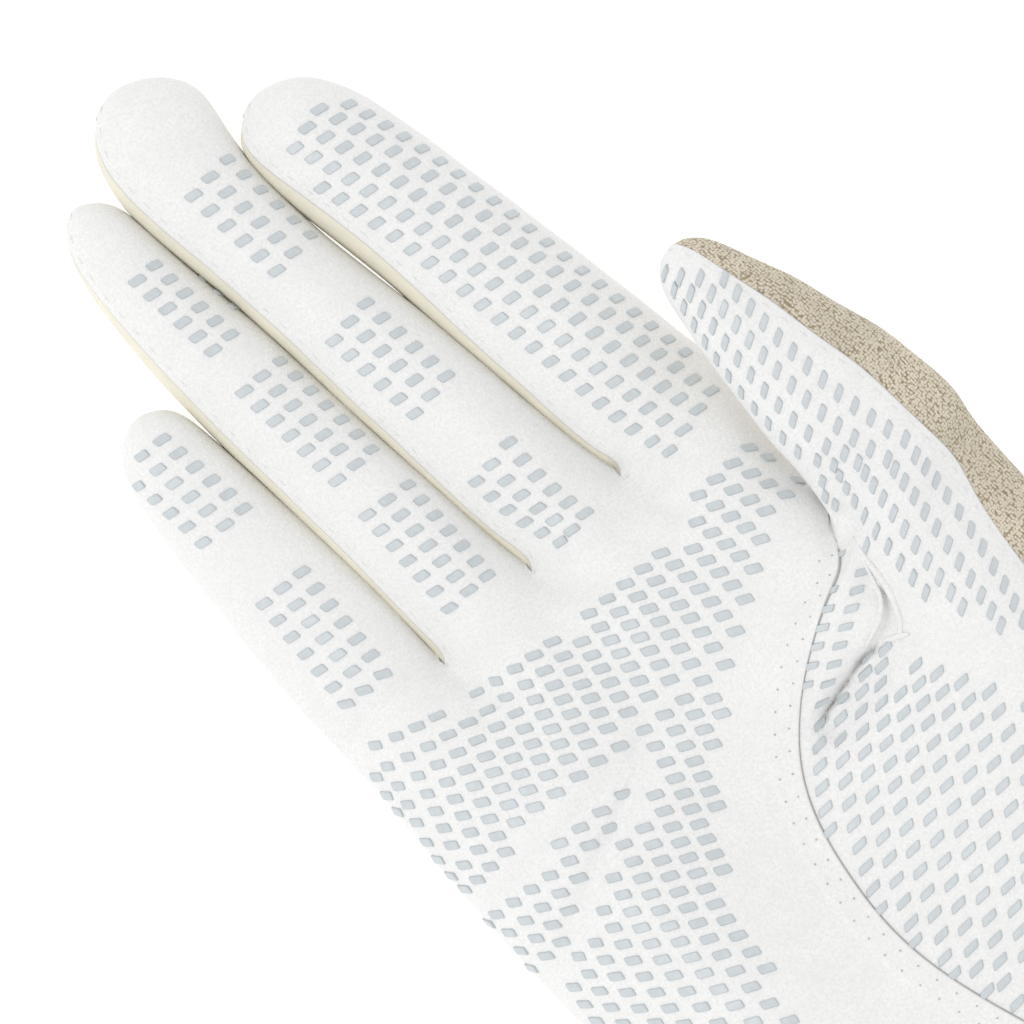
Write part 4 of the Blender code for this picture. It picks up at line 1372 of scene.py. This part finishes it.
# A line has a point at every second one of the border, and its direction comes from this many
# points to each side
LINE_STEP = 2
LINE_SPREAD = 3
# The least share of its inset that a line keeps, and the widest gap that it runs across
INSET_SHARE = 0.72
STITCH_JUMP = 0.004
# One stitch from end to end: place along it, thickness and height
STITCH_SIDES = 6
STITCH_RINGS = ((-0.5, 0.3, -1.0), (-0.38, 0.8, -0.3), (0.0, 1.0, 0.0), (0.38, 0.8, -0.3), (0.5, 0.3, -1.0))


def stitch_line(run, inset, surface):
    """Points and normals of a line that keeps a distance inside the border of a piece."""
    skin = glove_skin()
    border = [Vector(skin.fine.points[index]) for index in run]
    normals = [Vector(skin.normals[index]) for index in run]
    line, facing = [], []
    for k in range(0, len(border), LINE_STEP):
        before = border[max(0, k - LINE_SPREAD)]
        after = border[min(len(border) - 1, k + LINE_SPREAD)]
        inward = normals[k].cross((after - before).normalized())
        place, normal, _, _ = surface.tree.find_nearest(border[k] + inward * inset)
        if surface.from_rim(place) < INSET_SHARE * inset or normal.z < STITCH_FACING:
            continue
        line.append(place)
        facing.append(normal)
    return line, facing


def stitch_runs():
    """Chains of points for every visible seam, each with its outward direction."""
    palm = PanelSurface("palm_panel")
    thumb = PanelSurface("thumb_panel")
    runs = [stitch_line(run, PALM_STITCH_INSET, palm) for run in rim_runs("palm_panel", LEATHER_PIECES)]
    for run in rim_runs("thumb_panel", ("thumb_back",)):
        runs.append(stitch_line(run, THUMB_STITCH_INSET, thumb))
    return runs


def prick_runs():
    """The two rows of needle holes in the palm's band beside the thumb."""
    palm = PanelSurface("palm_panel")
    rows = []
    for run in rim_runs("palm_panel", ("thumb_panel",)):
        for inset in HOLE_INSETS:
            line, facing = stitch_line(run, inset, palm)
            rows.append(([place + normal * BAND_LIFT for place, normal in zip(line, facing)], facing))
    return rows


def stitch_mesh(runs):
    points, edges, facing = [], [], []
    for line, normals in runs:
        first = len(points)
        for number, (place, normal) in enumerate(zip(line, normals)):
            if number and (place - line[number - 1]).length < STITCH_JUMP:
                edges.append((len(points) - 1, len(points)))
            points.append(tuple(place))
            facing.append(normal)
    mesh = new_mesh("stitch_lines", points, edges=edges)
    add_vectors(mesh, "facing", facing)
    return mesh


def stitch_shape():
    """One short stitch, one unit long, as a slim rounded bar sunk at both ends."""
    points = []
    for along, size, rise in STITCH_RINGS:
        for k in range(STITCH_SIDES):
            turn = 2 * math.pi * k / STITCH_SIDES
            points.append((along, 0.5 * size * math.cos(turn), 0.5 * size * math.sin(turn) + 0.5 * rise))
    faces = [tuple(range(STITCH_SIDES)), tuple(range(len(points) - STITCH_SIDES, len(points)))[::-1]]
    return new_mesh("stitch_shape", points, faces + ring_faces(len(STITCH_RINGS), STITCH_SIDES, flip=True))


def stitch_tree(shape, spacing, length, thickness, material):
    growth = Growth("stitching", (
        ("Shape", "Object", shape),
        ("Spacing", "Float", spacing),
        ("Length", "Float", length),
        ("Thickness", "Float", thickness),
        ("Material", "Material", material),
    ))
    curve = growth.node("GeometryNodeMeshToCurve")
    growth.join(growth.source["Geometry"], curve.inputs["Mesh"])
    even = growth.node("GeometryNodeResampleCurve", mode="LENGTH")
    growth.join(curve.outputs["Curve"], even.inputs["Curve"])
    growth.join(growth.source["Spacing"], even.inputs["Length"])
    tangent = growth.node("GeometryNodeInputTangent").outputs["Tangent"]
    sizes = (growth.source["Length"], growth.source["Thickness"], growth.source["Thickness"])
    growth.lay(even.outputs["Curve"], ("X", tangent), ("Z", growth.named("facing")), sizes)
    return growth


def shape_object(name, mesh):
    """A shape that a node tree copies, kept out of the render."""
    shape = bpy.data.objects.new(name, mesh)
    bpy.context.scene.collection.objects.link(shape)
    return shape


# Rolled edges at the thumb's crotch: a run of places in millimetres and the roll's radius
Roll = namedtuple("Roll", "points radius")
ROLLS = (
    Roll(((30.0, 12.6), (29.4, 11.0), (28.9, 9.2), (28.6, 7.2), (28.3, 5.4), (27.8, 3.4), (27.0, 1.8),
          (26.0, 0.3), (25.0, -0.9), (23.8, -1.8)), 0.52),
    Roll(((28.9, 10.4), (28.0, 8.2), (27.2, 6.2), (26.5, 4.6), (25.4, 3.4), (24.2, 2.5), (22.7, 1.9),
          (21.2, 1.5), (19.9, 0.9)), 0.40),
    Roll(((22.2, -0.2), (23.2, -0.7), (24.4, -1.4), (25.4, -2.2)), 0.48),
)
ROLL_SIDES = 10
# Steps between two points of a roll, rounds of smoothing, how far it stands out of the panel as a
# share of its radius, and how far from its ends its thickness starts
ROLL_STEPS = 4
ROLL_ROUNDS = 6
ROLL_RISE = 0.3
ROLL_TAPER = 0.04


def roll_mesh():
    """The rolled edges as slim tubes half sunk in the thumb panel, thinner towards both ends."""
    surface = PanelSurface("thumb_panel")
    points, faces = [], []
    for roll in ROLLS:
        line = []
        for (ax, ay), (bx, by) in zip(roll.points, roll.points[1:]):
            shares = [k / ROLL_STEPS for k in range(ROLL_STEPS)]
            line += [(ax + (bx - ax) * share, ay + (by - ay) * share) for share in shares]
        line.append(roll.points[-1])
        placed = [surface.top(x * MM, y * MM) for x, y in line]
        places = [place for place, _ in placed]
        for _ in range(ROLL_ROUNDS):
            middles = [(a + b * 2 + c) / 4 for a, b, c in zip(places, places[1:], places[2:])]
            places = places[:1] + middles + places[-1:]
        first = len(points)
        last = len(line) - 1
        for number, (place, (_, normal)) in enumerate(zip(places, placed)):
            ahead = (places[min(last, number + 1)] - places[max(0, number - 1)]).normalized()
            side = normal.cross(ahead).normalized()
            up = ahead.cross(side)
            share = ROLL_TAPER + (1 - 2 * ROLL_TAPER) * number / last
            radius = roll.radius * MM * math.sqrt(math.sin(math.pi * share))
            for k in range(ROLL_SIDES):
                turn = 2 * math.pi * k / ROLL_SIDES
                lift = (math.sin(turn) + ROLL_RISE) * radius
                points.append(place + side * (math.cos(turn) * radius) + up * lift)
        faces += ring_faces(len(line), ROLL_SIDES, first)
        end = first + last * ROLL_SIDES
        faces.append(tuple(range(first, first + ROLL_SIDES)))
        faces.append(tuple(range(end, end + ROLL_SIDES)))
    return rolled_mesh("thumb_crotch_rolls", points, faces)


def rolled_mesh(name, points, faces):
    """A smooth closed mesh of suede with no cut edge on it."""
    mesh = new_mesh(name, points, faces)
    add_values(mesh, "edge", np.full(len(points), EDGE_REACH / MM))
    fix_normals(mesh)
    mesh.shade_smooth()
    return mesh


# Wrist


def hem_outline():
    """Points round the wrist edge and their inward directions."""
    skin = glove_skin()
    grid = skin.coarse
    open_edge = grid.beyond == -1
    following = dict(zip(grid.starts[open_edge].tolist(), grid.ends[open_edge].tolist()))
    start = next(iter(following))
    order = [start]
    while following[order[-1]] != start:
        order.append(following[order[-1]])
    outline = [Vector(skin.fine.points[skin.match[index]]) for index in order]
    middle = sum(outline, Vector()) / len(outline)
    inward = []
    for k, point in enumerate(outline):
        along = outline[(k + 1) % len(outline)] - outline[k - 1]
        normal = Vector((along.z, 0.0, -along.x)).normalized()
        inward.append(normal if normal.dot(middle - point) > 0 else -normal)
    return outline, inward


# Radius of the tape's long edges, and steps round each
BINDING_ROUND = 0.0008
BINDING_STEPS = 4


def binding_mesh():
    """The bound hem as a soft rolled tape round the wrist edge."""
    outline, inward = hem_outline()
    top = outline[0].y - SEAM_GAP
    half_thick = WALL / 2 + BINDING_LIP - BINDING_ROUND
    half_high = BINDING_HEIGHT / 2 - BINDING_ROUND
    section = []
    for corner, (side, end) in enumerate(((1, 1), (1, -1), (-1, -1), (-1, 1))):
        for step in range(BINDING_STEPS):
            turn = math.radians(90 - 90 * corner - 90 * step / (BINDING_STEPS - 1))
            across = side * half_thick + BINDING_ROUND * math.cos(turn)
            along = end * half_high + BINDING_ROUND * math.sin(turn)
            section.append((across, along))
    points = []
    for point, normal in zip(outline, inward):
        centre = Vector((point.x, top - BINDING_HEIGHT / 2, point.z)) + normal * (WALL / 2)
        for across, along in section:
            points.append(centre - normal * across + Vector((0.0, along, 0.0)))
    count, size = len(outline), len(section)
    faces = []
    for k in range(count):
        after = (k + 1) % count
        for j in range(size):
            nearby = (j + 1) % size
            faces.append((k * size + j, after * size + j, after * size + nearby, k * size + nearby))
    return rolled_mesh("wrist_binding_tape", points, faces)


TAB_CORNER = 0.006
TAB_STEPS = 7
TAB_SHARP_ANGLE = math.radians(40)
# The tab's outlines from its inner face round to the sunk panel of its outer one: how far each
# lies inside the edge, whether it is measured from the top, and how far from there
TabRing = namedtuple("TabRing", "inset from_top away")
TAB_RINGS = (
    TabRing(0.0006, True, 0.0),
    TabRing(0.0000, True, -0.0005),
    TabRing(0.0000, False, 0.0005),
    TabRing(0.0006, False, 0.0),
    TabRing(0.0022, False, 0.0),
    TabRing(0.0026, False, 0.0004),
    TabRing(0.0040, False, 0.0004),
)


def tab_mesh():
    """The closure tab: a rounded plate with a soft bevel and a sunk panel on its outer face."""
    low, high = (Vector(corner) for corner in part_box("closure_tab"))
    middle = (low + high) / 2
    half = (high - low) / 2
    points = []
    for ring in TAB_RINGS:
        reach = TAB_CORNER - ring.inset
        z = (high.z if ring.from_top else low.z) + ring.away
        for side_x, side_y, first in ((1, 1, 0), (-1, 1, 90), (-1, -1, 180), (1, -1, 270)):
            for step in range(TAB_STEPS):
                turn = math.radians(first + step * 90 / (TAB_STEPS - 1))
                x = middle.x + side_x * (half.x - TAB_CORNER) + reach * math.cos(turn)
                y = middle.y + side_y * (half.y - TAB_CORNER) + reach * math.sin(turn)
                points.append((x, y, z))
    sides = 4 * TAB_STEPS
    faces = [tuple(range(sides)), tuple(range(len(points) - sides, len(points)))[::-1]]
    mesh = new_mesh("closure_tab_plate", points, faces + ring_faces(len(TAB_RINGS), sides, flip=True))
    fix_normals(mesh)
    mesh.shade_smooth()
    mesh.set_sharp_from_angle(angle=TAB_SHARP_ANGLE)
    return mesh


# The add-on


class GloveSizes(bpy.types.PropertyGroup):
    """Sizes that a user would change"""

    pad_height: bpy.props.FloatProperty(
        name="Pad height", description="How far a grip pad stands out", default=0.00027, unit="LENGTH"
    )
    stitch_spacing: bpy.props.FloatProperty(
        name="Stitch spacing", description="From one stitch to the next", default=0.0032, unit="LENGTH"
    )
    stitch_length: bpy.props.FloatProperty(
        name="Stitch length", description="Length of the thread that shows", default=0.0016, unit="LENGTH"
    )
    thread_width: bpy.props.FloatProperty(
        name="Thread width", description="Thickness of the thread", default=0.00026, unit="LENGTH"
    )
    hole_width: bpy.props.FloatProperty(
        name="Hole width", description="Width of a needle hole", default=0.00036, unit="LENGTH"
    )
    view_height: bpy.props.FloatProperty(
        name="View height", description="Height of the camera", default=0.70, unit="LENGTH"
    )
    view_width: bpy.props.FloatProperty(
        name="View width", description="Width of the picture on the glove", default=0.1463, unit="LENGTH"
    )


class GloveColours(bpy.types.PropertyGroup):
    """Colours that a user would change"""

    suede: bpy.props.FloatVectorProperty(
        name="Suede", description="Palm and thumb panels", default=(0.91, 0.91, 0.902), subtype="COLOR"
    )
    leather: bpy.props.FloatVectorProperty(
        name="Leather", description="Back of the hand and sides of the fingers",
        default=(0.79, 0.715, 0.57), subtype="COLOR",
    )
    strip: bpy.props.FloatVectorProperty(
        name="Strips", description="Strips between the fingers", default=(0.88, 0.84, 0.71), subtype="COLOR"
    )
    silicone: bpy.props.FloatVectorProperty(
        name="Pads", description="Grip pads", default=(0.62, 0.665, 0.685), subtype="COLOR"
    )
    thread: bpy.props.FloatVectorProperty(
        name="Thread", description="Stitches", default=(0.84, 0.84, 0.82), subtype="COLOR"
    )
    hole: bpy.props.FloatVectorProperty(
        name="Needle holes", description="Shade inside a needle hole",
        default=(0.62, 0.60, 0.54), subtype="COLOR",
    )
    tab: bpy.props.FloatVectorProperty(
        name="Tab", description="Closure tab", default=(0.76, 0.77, 0.78), subtype="COLOR"
    )
    floor: bpy.props.FloatVectorProperty(
        name="Floor", description="Studio floor", default=(0.55, 0.55, 0.55), subtype="COLOR"
    )


class GLOVE_OT_white_panels(bpy.types.Operator):
    """Build the white suede palm and thumb panels"""

    bl_idname = "glove.white_panels"
    bl_label = "White panels"

    def execute(self, context):
        for name in WHITE_PIECES:
            link_piece(f"{name}_suede", piece_mesh(name), finish_of("suede"), (name,))
        link_piece("thumb_crotch_rolls", roll_mesh(), finish_of("suede"), ())
        return {"FINISHED"}


class GLOVE_OT_leather_back(bpy.types.Operator):
    """Build the leather back, the thumb's back and the strips between the fingers"""

    bl_idname = "glove.leather_back"
    bl_label = "Leather back"

    def execute(self, context):
        for name in LEATHER_PIECES:
            finish = finish_of("strip" if name.startswith("fourchette") else "leather")
            link_piece(f"{name}_leather", piece_mesh(name), finish, (name,))
        return {"FINISHED"}


class GLOVE_OT_grip_pads(bpy.types.Operator):
    """Lay the raised grip pads over the palm side"""

    bl_idname = "glove.grip_pads"
    bl_label = "Grip pads"

    def execute(self, context):
        sizes = context.scene.glove_sizes
        for name, lean in PAD_LEANS:
            shape = shape_object("pad_shape", pad_shape(lean))
            growth = pad_tree(shape, sizes.pad_height, finish_of("silicone"))
            mesh = growth.grow(f"{name}_pads", pad_points(name))
            bpy.data.objects.remove(shape)
            link_piece(f"{name}_pads", mesh, finish_of("silicone"), ())
        return {"FINISHED"}


class GLOVE_OT_stitching(bpy.types.Operator):
    """Sew the visible seams"""

    bl_idname = "glove.stitching"
    bl_label = "Stitching"

    def execute(self, context):
        sizes = context.scene.glove_sizes
        shape = shape_object("stitch_shape", stitch_shape())
        kinds = (
            ("seam_stitches", stitch_runs(), sizes.stitch_length, sizes.thread_width, "thread"),
            ("needle_holes", prick_runs(), sizes.hole_width, sizes.hole_width, "hole"),
        )
        for name, runs, length, thickness, finish in kinds:
            growth = stitch_tree(shape, sizes.stitch_spacing, length, thickness, finish_of(finish))
            mesh = growth.grow(name, stitch_mesh(runs))
            link_piece(name, mesh, finish_of(finish), ())
        bpy.data.objects.remove(shape)
        return {"FINISHED"}


class GLOVE_OT_wrist(bpy.types.Operator):
    """Bind the wrist and add the closure tab"""

    bl_idname = "glove.wrist"
    bl_label = "Wrist"

    def execute(self, context):
        tape, plate = binding_mesh(), tab_mesh()
        link_piece("wrist_binding_tape", tape, finish_of("suede"), ("wrist_binding",))
        link_piece("closure_tab_plate", plate, finish_of("tab"), ("closure_tab",))
        return {"FINISHED"}


# The photo's frame: its middle on the glove, and how far its right side is turned from +X
VIEW_CENTRE = Vector((0.0, 0.050, 0.015))
VIEW_TURN = math.radians(-47.0)

SENSOR_WIDTH = 36.0
NEAR_CLIP = 0.01

# The one soft lamp: its place and size in metres and its power in watts
LAMP_PLACE = Vector((-0.42, 0.24, 0.95))
LAMP_SIZE = 0.50
LAMP_POWER = 2.3
# Just under the glove, so the two never share a plane
FLOOR_LEVEL = -0.00005
FLOOR_REACH = 4.0
FLOOR_GLOW = 0.66
WORLD_GLOW = 0.86


class GLOVE_OT_stage(bpy.types.Operator):
    """Set up the pale floor, the soft light and the camera"""

    bl_idname = "glove.stage"
    bl_label = "Stage"

    def execute(self, context):
        scene = context.scene
        colours = scene.glove_colours
        sizes = scene.glove_sizes
        corners = ((-1, -1), (1, -1), (1, 1), (-1, 1))
        points = [(x * FLOOR_REACH, y * FLOOR_REACH, FLOOR_LEVEL) for x, y in corners]
        mesh = new_mesh("studio_floor", points, [(0, 1, 2, 3)])
        floor = bpy.data.objects.new("studio_floor", mesh)
        scene.collection.objects.link(floor)
        mesh.materials.append(floor_finish(tuple(colours.floor), FLOOR_GLOW))
        light = bpy.data.lights.new("key", "AREA")
        light.energy = LAMP_POWER
        light.size = LAMP_SIZE
        holder = bpy.data.objects.new("key", light)
        holder.location = LAMP_PLACE
        holder.rotation_euler = (VIEW_CENTRE - LAMP_PLACE).to_track_quat("-Z", "Y").to_euler()
        scene.collection.objects.link(holder)
        world = bpy.data.worlds.new("studio")
        world.use_nodes = True
        background = world.node_tree.nodes["Background"].inputs
        background["Color"].default_value = (1.0, 1.0, 1.0, 1.0)
        background["Strength"].default_value = WORLD_GLOW
        scene.world = world
        camera = bpy.data.cameras.new("camera")
        camera.sensor_width = SENSOR_WIDTH
        camera.lens = SENSOR_WIDTH * sizes.view_height / sizes.view_width
        camera.clip_start = NEAR_CLIP
        holder = bpy.data.objects.new("camera", camera)
        holder.location = VIEW_CENTRE + Vector((0.0, 0.0, sizes.view_height))
        holder.rotation_euler = (0.0, 0.0, VIEW_TURN)
        scene.collection.objects.link(holder)
        scene.camera = holder
        scene.view_settings.view_transform = "Standard"
        scene.view_settings.look = "None"
        return {"FINISHED"}


class GLOVE_PT_sidebar(bpy.types.Panel):
    """Sizes, colours and build steps of the glove"""

    bl_idname = "GLOVE_PT_sidebar"
    bl_label = "Golf glove"
    bl_space_type = "VIEW_3D"
    bl_region_type = "UI"
    bl_category = "Glove"

    def draw(self, context):
        layout = self.layout
        for group in (context.scene.glove_sizes, context.scene.glove_colours):
            box = layout.box()
            for name in group.__annotations__:
                box.prop(group, name)
        for step in STEPS:
            layout.operator(step.bl_idname)


STEPS = (
    GLOVE_OT_white_panels,
    GLOVE_OT_leather_back,
    GLOVE_OT_grip_pads,
    GLOVE_OT_stitching,
    GLOVE_OT_wrist,
    GLOVE_OT_stage,
)
CLASSES = (GloveSizes, GloveColours) + STEPS + (GLOVE_PT_sidebar,)


def register():
    for item in CLASSES:
        bpy.utils.register_class(item)
    bpy.types.Scene.glove_sizes = bpy.props.PointerProperty(type=GloveSizes)
    bpy.types.Scene.glove_colours = bpy.props.PointerProperty(type=GloveColours)


def unregister():
    del bpy.types.Scene.glove_colours
    del bpy.types.Scene.glove_sizes
    for item in reversed(CLASSES):
        bpy.utils.unregister_class(item)


def main():
    register()
    bpy.ops.glove.white_panels()
    bpy.ops.glove.leather_back()
    bpy.ops.glove.grip_pads()
    bpy.ops.glove.stitching()
    bpy.ops.glove.wrist()
    bpy.ops.glove.stage()


if __name__ == "__main__":
    main()
